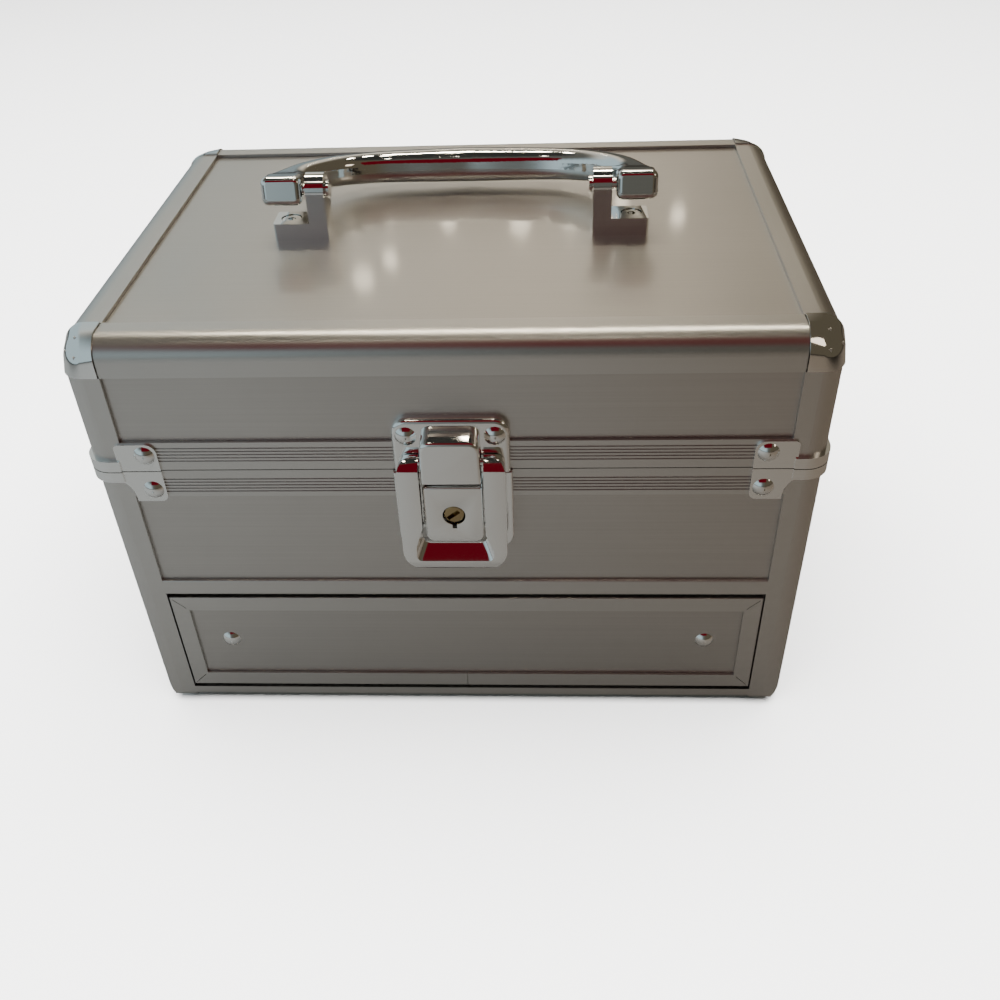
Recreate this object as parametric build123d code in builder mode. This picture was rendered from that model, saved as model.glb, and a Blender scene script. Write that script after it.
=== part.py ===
from build123d import *
from math import atan2, cos, degrees, radians, sin, sqrt
import os

os.makedirs("parts", exist_ok=True)

# A small aluminium beauty case: hinged lid with a folding handle, one bottom drawer, a ring latch
# with a key lock, and a pair of folding lid stays.  Millimetres.  X runs to the right, Y to the
# back, Z up; the origin is on the floor under the middle of the outer box.

# ---- driving dimensions: the case ----
case_width = 245.0
case_depth = 178.0
case_height = 160.0
lid_height = 48.0             # from the parting line to the top of the lid
foot_height = 2.5
closing_gap = 0.3             # between the two rims when shut

# ---- driving dimensions: aluminium profiles and panels ----
flange = 12.8                 # width of each face of an edge profile
profile_radius = 7.5
outer_skin = 1.2
slot_width = 3.2
inner_skin = 1.0
slot_setback = 5.6            # from the outer corner to the bottom of a panel slot
panel_thickness = 3.0
panel_play = 0.2              # between a panel's edge and the bottom of its slot
foot_corner_radius = 3.6      # of the side frames' folded lower corners, seen from the side
rim_height = 10.9
rim_web = 5.9                 # solid part of a rim next to the parting line
tongue_height = 4.0
tongue_thickness = 1.2
tongue_gap = 0.3
rib_depth = 0.35
rib_width = 0.6
rib_pitch = 1.25
rib_count = 5
rib_edge = 2.2                # plain lip of a rim before the first rib

# ---- driving dimensions: drawer ----
drawer_opening_bottom = 6.5
low_rail_radius = 4.5         # outer corner of the low rail under the drawer
shelf_rail_bottom = 55.7
shelf_rail_height = 7.0
shelf_rail_depth = 9.0
shelf_rise = 1.5              # from the rail's underside to the shelf's
rail_edge_radius = 0.8
drawer_gap = 0.5              # each side of the drawer front
drawer_foot_gap = 1.5         # under and over the drawer front
drawer_trim_width = 6.4
trim_skin = 1.0
drawer_wall = 3.0
drawer_side_height = 43.5
drawer_stop_depth = 8.0
drawer_travel = 130.0
stop_clearance = 0.3
guide_lip = 1.8
guide_cap = 3.8               # solid part of a guide over its groove
stop_hang = 0.6               # gap between the shelf's stop block and the drawer's walls
stop_width = 40.0
stop_round = 0.5
tab_width = 20.0
runner_round = 0.6
trim_round = 0.4
seam_width = 0.25
drawer_rivet_inset = 19.2     # from the end of the drawer front
drawer_rivet_height = 32.0
runner_width = 5.2
runner_height = 7.8
running_gap = 0.3
lining = 1.0

# ---- driving dimensions: hinges ----
hinge_inset = 52.5            # from the side of the case to the middle of a hinge
hinge_length = 40.0
hinge_leaf_height = 16.0
leaf_thickness = 1.2
barrel_radius = 2.7
hinge_pin_radius = 1.25
pin_fit = 0.05                # radial running clearance of every pin
knuckle_count = 5
knuckle_gap = 0.2

leaf_round = 3.0
hinge_rivet_offset = 7.4      # from the parting line
hinge_rivet_share = 0.35      # of the hinge's length, either side of its middle
pin_head_radius = 2.0
pin_head_height = 0.8

# ---- driving dimensions: rivets and screws ----
rivet_head_radius = 3.5
rivet_head_height = 1.7
rivet_shank_radius = 1.6
small_head_radius = 2.6
small_head_height = 1.1

screw_radius = 1.5
screw_head_radius = 2.8
screw_head_height = 1.2
screw_recess = 1.8
bolt_radius = 1.7
bolt_head_radius = 3.4
bolt_head_height = 2.6
bolt_socket_radius = 1.6
bolt_socket_depth = 1.5
nut_radius = 3.2
nut_height = 2.4

# ---- driving dimensions: clasps and corner caps ----
clasp_inset = 24.5            # reach of a clasp from the corner along each face
clasp_leaf = 14.0
clasp_height = 10.4
clasp_band = 4.0
clasp_sheet = 0.8
clasp_band_sheet = 1.4
clasp_rivet_inset = 20.2
lower_clasp_height = 12.1
lower_rivet_drop = 7.5        # from the parting line
upper_rivet_rise = 6.3
leaf_corner = 2.4
leaf_waist = 3.2              # the lower leaf's outer edge sweeps in by this much
leaf_sweep = 9.0
leaf_shoulder = 1.6
leaf_tip = 3.4                # upper leaf's outer corner
cap_reach = 14.3
cap_sheet = 0.6

# ---- driving dimensions: latch and lock ----
plate_half_width = 19.3
keeper_height = 21.3
keeper_face = 1.9             # how far the keeper's face stands out of the rim
plate_corner = 5.2
plate_edge_round = 0.7
keeper_round = 1.4
base_half_width = 19.8
base_corner = 6.0
base_plate_height = 32.8
base_plate_thickness = 1.6
base_rivet_spacing = 29.0
base_rivet_rise = 5.0         # from the base plate's lower edge
keeper_rivet_spacing = 28.8
keeper_rivet_height = 14.1    # above the parting line
nose_half_width = 9.9
nose_height = 13.2
nose_reach = 9.0
nose_lip = 1.6
nose_set_back = 2.6           # from the keeper's top edge down to the nose's root
nose_round = 1.2
lock_height = 21.2
lock_reach = 6.5
lock_drop = 3.2               # from the parting line down to the lock's top
lock_wall = 1.0
lock_corner = 4.0
lock_top_corner = 1.0
cylinder_radius = 3.5
cylinder_drop = 14.6
keyway_width = 1.4
keyway_depth = 1.4
keyway_angle = 45.0
collar_radius = 4.6
cam_length = 16.0
cam_width = 4.0
cam_thickness = 1.2
ring_half_width = 17.7
ring_bar = 7.0
ring_bottom_drop = 35.1       # from the parting line down to the ring's lower edge
ring_window_drop = 24.6
ring_top_rise = 3.0
ring_reach = 11.3
ring_corner = 8.2
ring_eye_radius = 2.2         # round end of the ring about its pin
ring_pin_radius = 1.3
ring_pin_bite = 3.2           # how far the pin runs into each arm of the ring
ring_pivot_rise = 5.8
ring_pivot_out = 4.4
ring_arm_gap = 0.5            # between the nose and each arm
ring_waist = (2.4, 8.6)       # inner and outer faces of the arms, out from the front
ring_waist_drop = (14.5, 12.0)
ring_bar_back = 6.9           # the lower bar's inner face, just in front of the lock
ring_bar_drops = (23.0, 28.0, 32.5, 28.5)
ring_bar_faces = (7.6, 10.2)
ring_window_corner = 4.5

# ---- driving dimensions: handle ----
bracket_inner = 47.3
bracket_ear = 6.5
bracket_foot = 19.7
bracket_depth = 11.5
bracket_foot_height = 6.2
bracket_hole_inset = 5.8
bracket_round = 0.8
handle_pivot_y = -6.2         # from the middle of the case, towards the front
handle_pivot_height = 15.3    # above the top of the profiles
handle_fold = 10.6            # degrees below level when folded back
handle_pin_radius = 2.0
ear_gap = 1.5
block_length = 14.5
block_size = 10.0
grip_reach = 47.0
grip_thickness = 12.4
handle_pin_bite = 7.6         # of the pin into the end block
handle_pin_head = (3.0, 1.1)  # radius and height
block_round = 2.6
arm_bend = 34.8
arm_lead = (63.5, 4.0)        # where an arm's centre line leaves its end block
arm_turn = (61.5, 16.0)       # and where it starts to bend
grip_slope = 4.0              # degrees, where the bend ends
arm_shares = (0.16, 0.3, 0.44, 0.58, 0.8, 1.0)
arm_height = 10.2
arm_width = 9.6
arm_round = 3.4
grip_round = 5.6

# ---- driving dimensions: lid stays and feet ----
stay_length = 70.0
stay_width = 8.0
stay_sheet = 1.5
stay_stand_off = 3.1          # from the side panel to the nearer link
stay_layer_gap = 0.3
stay_pin_radius = 1.9
stay_shoulder_radius = 3.2
stay_base_radius = 4.6
stay_base_height = 1.2
stay_head_radius = 3.0
stay_head_height = 1.1
elbow_clearance = 0.3
foot_radius = 7.0
foot_inset = 22.0
foot_taper = 8.0

# ---- levels and planes worked out from them ----
section_depth = outer_skin + slot_width + inner_skin
barrel_out = barrel_radius + closing_gap
front = -case_depth / 2 + (ring_reach - barrel_out - barrel_radius) / 2
back = front + case_depth
middle = (front + back) / 2
side = case_width / 2
bottom = foot_height
top = bottom + case_height
split = top - lid_height
lower_edge = split - closing_gap / 2
upper_edge = split + closing_gap / 2
bar_half_x = side - flange
bar_half_y = case_depth / 2 - flange
panel_outer = outer_skin + (slot_width - panel_thickness) / 2
panel_inner = panel_outer + panel_thickness
panel_edge = slot_setback + panel_play
hinge_y = back + barrel_out
hinge_centre = side - hinge_inset
shelf_bottom = bottom + shelf_rail_bottom + shelf_rise
rail_top = bottom + shelf_rail_bottom + shelf_rail_height


def angle_section(reach_a=flange, radius=profile_radius):
    """Edge profile: rounded outer corner, two faces and a panel slot behind each face."""
    with BuildSketch() as section:
        with BuildLine():
            Polyline(
                (radius, 0),
                (reach_a, 0),
                (reach_a, section_depth),
                (section_depth, section_depth),
                (section_depth, flange),
                (0, flange),
                (0, radius),
            )
            RadiusArc((0, radius), (radius, 0), -radius)
        make_face()
        with Locations((slot_setback, outer_skin)):
            Rectangle(reach_a, slot_width, align=(Align.MIN, Align.MIN), mode=Mode.SUBTRACT)
        with Locations((outer_skin, slot_setback)):
            Rectangle(slot_width, flange, align=(Align.MIN, Align.MIN), mode=Mode.SUBTRACT)
    return section.sketch


def face_plane(point, outward):
    """An upright plane looking outwards, its X running level and its Y straight up."""
    return Plane(origin=point, x_dir=Vector(0, 0, 1).cross(Vector(*outward)), z_dir=outward)


def corner_plane(corner, inward_a, inward_b):
    """A plane square to an edge, its two axes running inwards along the two faces there."""
    direction = Vector(*inward_a).cross(Vector(*inward_b))
    return Plane(origin=corner, x_dir=inward_a, z_dir=direction)


def rim_section(rising_tongue):
    """Rim bar: ribbed face, panel slot away from the parting line; X inwards, Y off the line."""
    with BuildSketch() as section:
        Rectangle(section_depth, rim_height - closing_gap / 2, align=(Align.MIN, Align.MIN))
        with Locations((outer_skin, rim_web)):
            Rectangle(slot_width, rim_height, align=(Align.MIN, Align.MIN), mode=Mode.SUBTRACT)
        for rib in range(rib_count):
            with Locations((0, rim_height - closing_gap / 2 - rib_edge - rib * rib_pitch)):
                Rectangle(2 * rib_depth, rib_width, mode=Mode.SUBTRACT)
        if rising_tongue:
            tongue_root = section_depth + tongue_gap
            with Locations((section_depth, 0)):
                Rectangle(tongue_gap + tongue_thickness, rim_web, align=(Align.MIN, Align.MIN))
            with Locations((tongue_root, -tongue_height)):
                Rectangle(tongue_thickness, rim_web, align=(Align.MIN, Align.MIN))
    return section.sketch


# The four walls of the case as (middle of the wall's foot line, inward direction, half length).
walls = [
    ((0, front), (0, 1, 0), bar_half_x),
    ((0, back), (0, -1, 0), bar_half_x),
    ((-side, middle), (1, 0, 0), bar_half_y),
    ((side, middle), (-1, 0, 0), bar_half_y),
]
# The four upright corners as (corner point, inward along X, inward along Y).
corners = [
    ((sx * side, middle + sy * case_depth / 2), -sx, -sy) for sx in (-1, 1) for sy in (-1, 1)
]


def rivet(head_radius, head_height, grip):
    """A domed rivet standing on XY with its shank going down."""
    dome_radius = (head_radius**2 + head_height**2) / (2 * head_height)
    with BuildPart() as shape:
        with BuildSketch(Plane.XZ):
            with BuildLine():
                Polyline(
                    (0, head_height),
                    (0, -grip),
                    (rivet_shank_radius, -grip),
                    (rivet_shank_radius, 0),
                    (head_radius, 0),
                )
                RadiusArc((head_radius, 0), (0, head_height), -dome_radius)
            make_face()
        revolve(axis=Axis.Z)
    return shape.part


def facing(x, y, z, direction):
    """A location whose Z axis points along the given horizontal direction."""
    return Location(Plane(origin=(x, y, z), x_dir=(0, 0, 1), z_dir=direction))


# ================= body of the case =================

# Side frames: one profile each, notched and folded down the front, under and up the back.
def side_frame(sign):
    face = sign * side
    with BuildLine(Plane.YZ.offset(face)) as route:
        Polyline((front, lower_edge), (front, bottom), (back, bottom), (back, lower_edge))
    start = corner_plane((face, front, lower_edge), (-sign, 0, 0), (0, 1, 0))
    with BuildPart() as frame:
        with BuildSketch(start):
            add(angle_section())
        sweep(path=route.wire(), transition=Transition.RIGHT)
        with BuildSketch(Plane.YZ.offset(-side)):
            with Locations((middle, bottom)):
                Rectangle(case_depth, case_height, align=(Align.CENTER, Align.MIN))
            fillet(vertices().group_by(Axis.Y)[0], foot_corner_radius)
        extrude(amount=2 * side, mode=Mode.INTERSECT)
    return frame.part


with BuildPart() as side_frame_left:
    add(side_frame(-1))
side_frame_left.part.label = "side_frame_left"
export_step(side_frame_left.part, "parts/side_frame_left.step")

with BuildPart() as side_frame_right:
    add(side_frame(1))
side_frame_right.part.label = "side_frame_right"
export_step(side_frame_right.part, "parts/side_frame_right.step")

# Bottom rails between the side frames; the front one is cut low under the drawer.
with BuildPart() as bottom_front_rail:
    with BuildSketch(corner_plane((0, front, bottom), (0, 0, 1), (0, 1, 0)).offset(-bar_half_x)):
        add(angle_section(drawer_opening_bottom, low_rail_radius))
    extrude(amount=2 * bar_half_x)
bottom_front_rail.part.label = "bottom_front_rail"
export_step(bottom_front_rail.part, "parts/bottom_front_rail.step")

with BuildPart() as bottom_back_rail:
    with BuildSketch(corner_plane((0, back, bottom), (0, 0, 1), (0, -1, 0)).offset(-bar_half_x)):
        add(angle_section())
    extrude(amount=2 * bar_half_x)
bottom_back_rail.part.label = "bottom_back_rail"
export_step(bottom_back_rail.part, "parts/bottom_back_rail.step")

# Floor panel: its front and back edges sit in the rails, its sides in the side frames.
foot_places = [
    (sx * (side - foot_inset), middle + sy * (case_depth / 2 - foot_inset))
    for sx in (-1, 1)
    for sy in (-1, 1)
]
with BuildPart() as base_panel:
    with BuildSketch(Plane.XY.offset(bottom + panel_outer)):
        with Locations((0, middle)):
            Rectangle(2 * (side - panel_edge), case_depth - 2 * panel_edge)
        with Locations(*foot_places):
            Circle(screw_radius, mode=Mode.SUBTRACT)
    extrude(amount=panel_thickness)
base_panel.part.label = "base_panel"
export_step(base_panel.part, "parts/base_panel.step")

# Side panels.
wall_panel_top = split - rim_web - panel_play
panel_half_y = case_depth / 2 - panel_edge
panel_half_x = side - panel_edge


def side_panel(sign):
    height = wall_panel_top - bottom - panel_edge
    with BuildPart() as board:
        with BuildSketch(face_plane((sign * (side - panel_outer), middle, bottom), (sign, 0, 0))):
            with Locations((0, panel_edge)):
                Rectangle(2 * panel_half_y, height, align=(Align.CENTER, Align.MIN))
        extrude(amount=-panel_thickness)
    return board.part


with BuildPart() as side_panels:
    add(side_panel(-1))
    add(side_panel(1))
side_panels.part.label = "side_panels"
export_step(side_panels.part, "parts/side_panels.step")

# Back panel.
with BuildPart() as back_panel:
    with BuildSketch(face_plane((0, back - panel_outer, bottom), (0, 1, 0))):
        with Locations((0, panel_edge)):
            back_rise = wall_panel_top - bottom - panel_edge
            Rectangle(2 * panel_half_x, back_rise, align=(Align.CENTER, Align.MIN))
    extrude(amount=-panel_thickness)
back_panel.part.label = "back_panel"
export_step(back_panel.part, "parts/back_panel.step")

# Rail over the drawer: it carries the front panel above and the shelf's front edge behind.
shelf_slot_wall = 0.6
shelf_slot_start = section_depth + shelf_slot_wall
front_panel_seat = 4.0        # depth of the front panel in the rail
with BuildPart() as shelf_front_rail:
    rail_plane = corner_plane((0, front, bottom + shelf_rail_bottom), (0, 1, 0), (0, 0, 1))
    with BuildSketch(rail_plane.offset(-bar_half_x)):
        Rectangle(shelf_rail_depth, shelf_rail_height, align=(Align.MIN, Align.MIN))
        with Locations((outer_skin, shelf_rail_height - front_panel_seat)):
            Rectangle(slot_width, shelf_rail_height, align=(Align.MIN, Align.MIN), mode=Mode.SUBTRACT)
        with Locations((shelf_slot_start, shelf_rise - panel_play / 2)):
            Rectangle(shelf_rail_depth, slot_width, align=(Align.MIN, Align.MIN), mode=Mode.SUBTRACT)
        round_over = vertices().sort_by(Axis.X)[:2]
        fillet(round_over, rail_edge_radius)
    extrude(amount=2 * bar_half_x)
shelf_front_rail.part.label = "shelf_front_rail"
export_step(shelf_front_rail.part, "parts/shelf_front_rail.step")

# Front panel of the upper compartment.
base_plate_low = split - base_plate_height
base_rivet_points = [(sx * base_rivet_spacing / 2, base_plate_low + base_rivet_rise) for sx in (-1, 1)]
front_panel_low = rail_top - front_panel_seat + panel_play
with BuildPart() as front_panel:
    with BuildSketch(face_plane((0, front + panel_outer, 0), (0, -1, 0))):
        with Locations((0, front_panel_low)):
            panel_rise = wall_panel_top - front_panel_low
            Rectangle(2 * panel_half_x, panel_rise, align=(Align.CENTER, Align.MIN))
        with Locations(*base_rivet_points):
            Circle(rivet_shank_radius, mode=Mode.SUBTRACT)
    extrude(amount=-panel_thickness)
front_panel.part.label = "front_panel"
export_step(front_panel.part, "parts/front_panel.step")

# Shelf between drawer and upper compartment; it rests on the drawer guides.
shelf_half_x = side - section_depth - panel_play
shelf_front = front + shelf_slot_start + panel_play
shelf_back = back - section_depth - panel_play
shelf_middle = (shelf_front + shelf_back) / 2
with BuildPart() as divider_shelf:
    with BuildSketch(Plane.XY.offset(shelf_bottom)):
        with Locations((0, shelf_middle)):
            Rectangle(2 * shelf_half_x, shelf_back - shelf_front)
    extrude(amount=panel_thickness)
divider_shelf.part.label = "divider_shelf"
export_step(divider_shelf.part, "parts/divider_shelf.step")

# Thin lining on the shelf.
lining_front = front + shelf_rail_depth + lining
with BuildPart() as compartment_lining:
    with BuildSketch(Plane.XY.offset(shelf_bottom + panel_thickness)):
        with Locations((0, (lining_front + shelf_back - lining) / 2)):
            Rectangle(2 * (shelf_half_x - lining), shelf_back - lining - lining_front)
    extrude(amount=lining)
compartment_lining.part.label = "compartment_lining"
export_step(compartment_lining.part, "parts/compartment_lining.step")

# Rivet places on the rims: two clasp rivets at each corner, and the hinge rivets at the back.
clasp_rivet_x = side - clasp_rivet_inset
clasp_rivet_y = case_depth / 2 - clasp_rivet_inset
hinge_rivet_x = [
    sx * hinge_centre + place * hinge_length * hinge_rivet_share
    for sx in (-1, 1)
    for place in (-1, 0, 1)
]


def clasp_rivet_seats(z, stand_off):
    """Rivet seats on all four walls, this far out of the rims."""
    seats = []
    for sx in (-1, 1):
        for sy in (-1, 1):
            wall_y = middle + sy * (case_depth / 2 + stand_off)
            seats.append(facing(sx * clasp_rivet_x, wall_y, z, (0, sy, 0)))
            row_y = middle + sy * clasp_rivet_y
            seats.append(facing(sx * (side + stand_off), row_y, z, (sx, 0, 0)))
    return seats


def hinge_rivet_seats(z, stand_off):
    """Rivet seats of both hinges on the back wall."""
    return [facing(x, back + stand_off, z, (0, 1, 0)) for x in hinge_rivet_x]


def rim(edge_level, off_line, rising_tongue, clasp_rivet_z, hinge_rivet_z):
    """Four rim bars with the rivet holes in their outer skin."""
    with BuildPart() as bars:
        for (x, y), inward, half_length in walls:
            start = corner_plane((x, y, edge_level), inward, off_line).offset(-half_length)
            with BuildSketch(start):
                add(rim_section(rising_tongue))
            extrude(amount=2 * half_length)
        with Locations(*clasp_rivet_seats(clasp_rivet_z, 0), *hinge_rivet_seats(hinge_rivet_z, 0)):
            Cylinder(
                rivet_shank_radius,
                outer_skin,
                align=(Align.CENTER, Align.CENTER, Align.MAX),
                mode=Mode.SUBTRACT,
            )
    return bars.part


lower_rivet_z = split - lower_rivet_drop
upper_rivet_z = split + upper_rivet_rise
hinge_low_z = split - hinge_rivet_offset
hinge_high_z = split + hinge_rivet_offset

with BuildPart() as lower_rim:
    add(rim(lower_edge, (0, 0, -1), True, lower_rivet_z, hinge_low_z))
lower_rim.part.label = "lower_rim"
export_step(lower_rim.part, "parts/lower_rim.step")


# Corner clasps: a stamped leaf on each face and a stout band round the corner.
def wrap_strip(reach, sheet):
    """Plan of a strip bent round a rounded corner at the origin, its legs along +X and +Y."""
    with BuildSketch() as strip:
        with Locations((-sheet, -sheet)):
            Rectangle(reach + sheet, reach + sheet, align=(Align.MIN, Align.MIN))
        outer_corner = vertices().sort_by_distance((-sheet, -sheet))[0]
        fillet(outer_corner, profile_radius + sheet)
        with BuildSketch(mode=Mode.PRIVATE) as inside:
            Rectangle(2 * reach, 2 * reach, align=(Align.MIN, Align.MIN))
            fillet(vertices().sort_by_distance((0, 0))[0], profile_radius)
        add(inside.sketch, mode=Mode.SUBTRACT)
    return strip.sketch


def clasp(leaf_outline, band_height):
    """One clasp at a corner at the origin, made from its leaf's outline on the front face."""
    with BuildPart() as piece:
        with BuildSketch(face_plane((0, 0, 0), (0, -1, 0))):
            add(leaf_outline)
        extrude(amount=clasp_sheet)
        mirror(about=Plane(origin=(0, 0, 0), z_dir=(1, -1, 0)))
        with BuildSketch():
            add(wrap_strip(clasp_inset - clasp_leaf + clasp_sheet, clasp_band_sheet))
        extrude(amount=band_height)
    return piece.part


def all_corners(piece, edge_level):
    """The piece at the front left corner, and its mirror images at the other three."""
    with BuildPart() as group:
        add(piece.moved(Location((-side, front, edge_level))))
        mirror(about=Plane.YZ)
        mirror(about=Plane.XZ.offset(-middle))
    return group.part


leaf_start = clasp_inset - clasp_leaf
with BuildSketch() as lower_leaf:
    with BuildLine():
        Polyline(
            (leaf_start, -clasp_band),
            (leaf_start, 0),
            (clasp_inset, 0),
            (clasp_inset, -lower_clasp_height + leaf_corner),
        )
        RadiusArc(
            (clasp_inset, -lower_clasp_height + leaf_corner),
            (clasp_inset - leaf_corner, -lower_clasp_height),
            leaf_corner,
        )
        Line(
            (clasp_inset - leaf_corner, -lower_clasp_height),
            (leaf_start + leaf_waist, -lower_clasp_height),
        )
        RadiusArc(
            (leaf_start + leaf_waist, -lower_clasp_height),
            (leaf_start, -clasp_band),
            -leaf_sweep,
        )
    make_face()
    with Locations((clasp_rivet_inset, -lower_rivet_drop + closing_gap / 2)):
        Circle(rivet_shank_radius, mode=Mode.SUBTRACT)

with BuildPart() as lower_clasps:
    add(all_corners(clasp(lower_leaf.sketch, -clasp_band), lower_edge))
lower_clasps.part.label = "lower_clasps"
export_step(lower_clasps.part, "parts/lower_clasps.step")

# Rivets of the case: clasps, hinge leaves and the latch's base plate.
with BuildPart() as case_rivets:
    with Locations(*clasp_rivet_seats(lower_rivet_z, clasp_sheet)):
        add(rivet(rivet_head_radius, rivet_head_height, clasp_sheet + outer_skin))
    with Locations(*hinge_rivet_seats(hinge_low_z, leaf_thickness)):
        add(rivet(small_head_radius, small_head_height, leaf_thickness + outer_skin))
    base_seats = [
        facing(x, front - base_plate_thickness, z, (0, -1, 0)) for x, z in base_rivet_points
    ]
    with Locations(*base_seats):
        through = base_plate_thickness + panel_inner
        add(rivet(small_head_radius, small_head_height, through))
case_rivets.part.label = "case_rivets"
export_step(case_rivets.part, "parts/case_rivets.step")


# Hinges: five knuckles on one pin, three of them on the lower leaf and two on the upper.
knuckle_length = (hinge_length - (knuckle_count - 1) * knuckle_gap) / knuckle_count
knuckle_step = knuckle_length + knuckle_gap


def hinge_leaf(centre_x, direction, knuckles):
    """A leaf going down or up the back wall, with its share of the knuckles."""
    edge_clear = barrel_radius - closing_gap
    with BuildPart() as leaf:
        with BuildSketch(face_plane((centre_x, back, split), (0, 1, 0))):
            with Locations((0, direction * (edge_clear + hinge_leaf_height) / 2)):
                Rectangle(hinge_length, hinge_leaf_height - edge_clear)
            fillet(vertices().group_by(Axis.Y)[0 if direction < 0 else -1], leaf_round)
            for knuckle in knuckles:
                web_x = (knuckle - (knuckle_count - 1) / 2) * knuckle_step
                with Locations((web_x, direction * (closing_gap + edge_clear) / 2)):
                    Rectangle(knuckle_length, edge_clear - closing_gap)
            with Locations(*[(hinge_length * hinge_rivet_share * k, direction * hinge_rivet_offset)
                             for k in (-1, 0, 1)]):
                Circle(rivet_shank_radius, mode=Mode.SUBTRACT)
        extrude(amount=leaf_thickness)
        for knuckle in knuckles:
            knuckle_x = centre_x + (knuckle - (knuckle_count - 1) / 2) * knuckle_step
            with Locations(Location(Plane(origin=(knuckle_x, hinge_y, split), z_dir=(1, 0, 0)))):
                Cylinder(barrel_radius, knuckle_length)
        with Locations(Location(Plane(origin=(centre_x, hinge_y, split), z_dir=(1, 0, 0)))):
            Cylinder(hinge_pin_radius + pin_fit, 2 * hinge_length, mode=Mode.SUBTRACT)
    return leaf.part


with BuildPart() as hinge_lower_leaves:
    add(hinge_leaf(-hinge_centre, -1, (0, 2, 4)))
    add(hinge_leaf(hinge_centre, -1, (0, 2, 4)))
hinge_lower_leaves.part.label = "hinge_lower_leaves"
export_step(hinge_lower_leaves.part, "parts/hinge_lower_leaves.step")

with BuildPart() as hinge_pins:
    for sx in (-1, 1):
        pin_centre = (sx * hinge_centre, hinge_y, split)
        with Locations(Location(Plane(origin=pin_centre, z_dir=(1, 0, 0)))):
            Cylinder(hinge_pin_radius, hinge_length)
            with Locations((0, 0, hinge_length / 2), (0, 0, -hinge_length / 2 - pin_head_height)):
                Cylinder(
                    pin_head_radius, pin_head_height, align=(Align.CENTER, Align.CENTER, Align.MIN)
                )
hinge_pins.part.label = "hinge_pins"
export_step(hinge_pins.part, "parts/hinge_pins.step")

# Feet: soft turned feet screwed up into the floor panel.
foot_seat = bottom + panel_outer
with BuildPart() as feet:
    with BuildSketch(Plane.XY.offset(foot_seat)):
        with Locations(*foot_places):
            Circle(foot_radius)
            Circle(screw_radius, mode=Mode.SUBTRACT)
    extrude(amount=-foot_seat, taper=foot_taper)
    with Locations(*[(x, y, 0) for x, y in foot_places]):
        Cylinder(
            screw_head_radius + running_gap,
            screw_recess,
            align=(Align.CENTER, Align.CENTER, Align.MIN),
            mode=Mode.SUBTRACT,
        )
feet.part.label = "feet"
export_step(feet.part, "parts/feet.step")

with BuildPart() as foot_screws:
    with BuildSketch(Plane.XY.offset(screw_recess)):
        with Locations(*foot_places):
            Circle(screw_radius)
    extrude(amount=foot_seat + panel_thickness - screw_recess)
    with BuildSketch(Plane.XY.offset(screw_recess)):
        with Locations(*foot_places):
            Circle(screw_head_radius)
    extrude(amount=-screw_head_height)
foot_screws.part.label = "foot_screws"
export_step(foot_screws.part, "parts/foot_screws.step")

# Drawer guides: channels on the side panels that carry the shelf and the drawer's runners.
runner_outer = bar_half_x - drawer_gap
tray_half_x = runner_outer - runner_width
guide_inner = tray_half_x + running_gap
guide_outer = side - panel_inner
groove_wall = runner_outer + running_gap
groove_top = shelf_bottom - guide_cap
groove_height = runner_height + 2 * running_gap
groove_bottom = groove_top - groove_height
guide_bottom = groove_bottom - guide_lip
tray_top = groove_top - running_gap
tray_bottom = tray_top - drawer_side_height
stop_front = front + shelf_rail_depth
stop_back = stop_front + drawer_stop_depth
tray_back_front = stop_back + drawer_travel + stop_clearance
tray_back = tray_back_front + drawer_wall
guide_front = front + flange + panel_play
groove_end = tray_back + running_gap
guide_back = groove_end + drawer_wall
with BuildPart() as drawer_guides:
    with BuildSketch(Plane.XZ.offset(-guide_front)):
        for sx in (-1, 1):
            with Locations((sx * (guide_inner + guide_outer) / 2, (guide_bottom + shelf_bottom) / 2)):
                Rectangle(guide_outer - guide_inner, shelf_bottom - guide_bottom)
    extrude(amount=guide_front - guide_back)
    with BuildSketch(Plane.XZ.offset(-guide_front)):
        for sx in (-1, 1):
            with Locations((sx * (guide_inner + groove_wall) / 2, (groove_bottom + groove_top) / 2)):
                Rectangle(groove_wall - guide_inner, groove_height)
    extrude(amount=guide_front - groove_end, mode=Mode.SUBTRACT)
drawer_guides.part.label = "drawer_guides"
export_step(drawer_guides.part, "parts/drawer_guides.step")

# Stop block under the shelf; a tab on the drawer's back wall meets it when the drawer is out.
with BuildPart() as drawer_stop:
    with BuildSketch(Plane.XY.offset(shelf_bottom)):
        with Locations((0, (stop_front + stop_back) / 2)):
            Rectangle(stop_width, drawer_stop_depth)
    extrude(amount=-(shelf_bottom - tray_top - stop_hang))
    fillet(edges().filter_by(Axis.X).group_by(Axis.Z)[0], stop_round)
drawer_stop.part.label = "drawer_stop"
export_step(drawer_stop.part, "parts/drawer_stop.step")

# Latch base plate on the front: it bears on the rim and on the panel under it.
rim_low = split - rim_height
with BuildPart() as latch_base_plate:
    with BuildSketch(face_plane((0, front + panel_outer, split), (0, -1, 0))):
        with Locations((0, -closing_gap / 2)):
            base_size = base_plate_height - closing_gap / 2
            Rectangle(2 * base_half_width, base_size, align=(Align.CENTER, Align.MAX))
        fillet(vertices().group_by(Axis.Y)[0], base_corner)
        with Locations(*[(x, z - split) for x, z in base_rivet_points]):
            Circle(rivet_shank_radius, mode=Mode.SUBTRACT)
    extrude(amount=panel_outer + base_plate_thickness)
    with BuildSketch(face_plane((0, front, rim_low), (0, -1, 0))):
        Rectangle(2 * side, 2 * rim_height, align=(Align.CENTER, Align.MIN))
    extrude(amount=-panel_outer, mode=Mode.SUBTRACT)
    front_edges = faces().sort_by(Axis.Y)[0].outer_wire().edges()
    fillet(front_edges, plate_edge_round)
latch_base_plate.part.label = "latch_base_plate"
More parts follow.
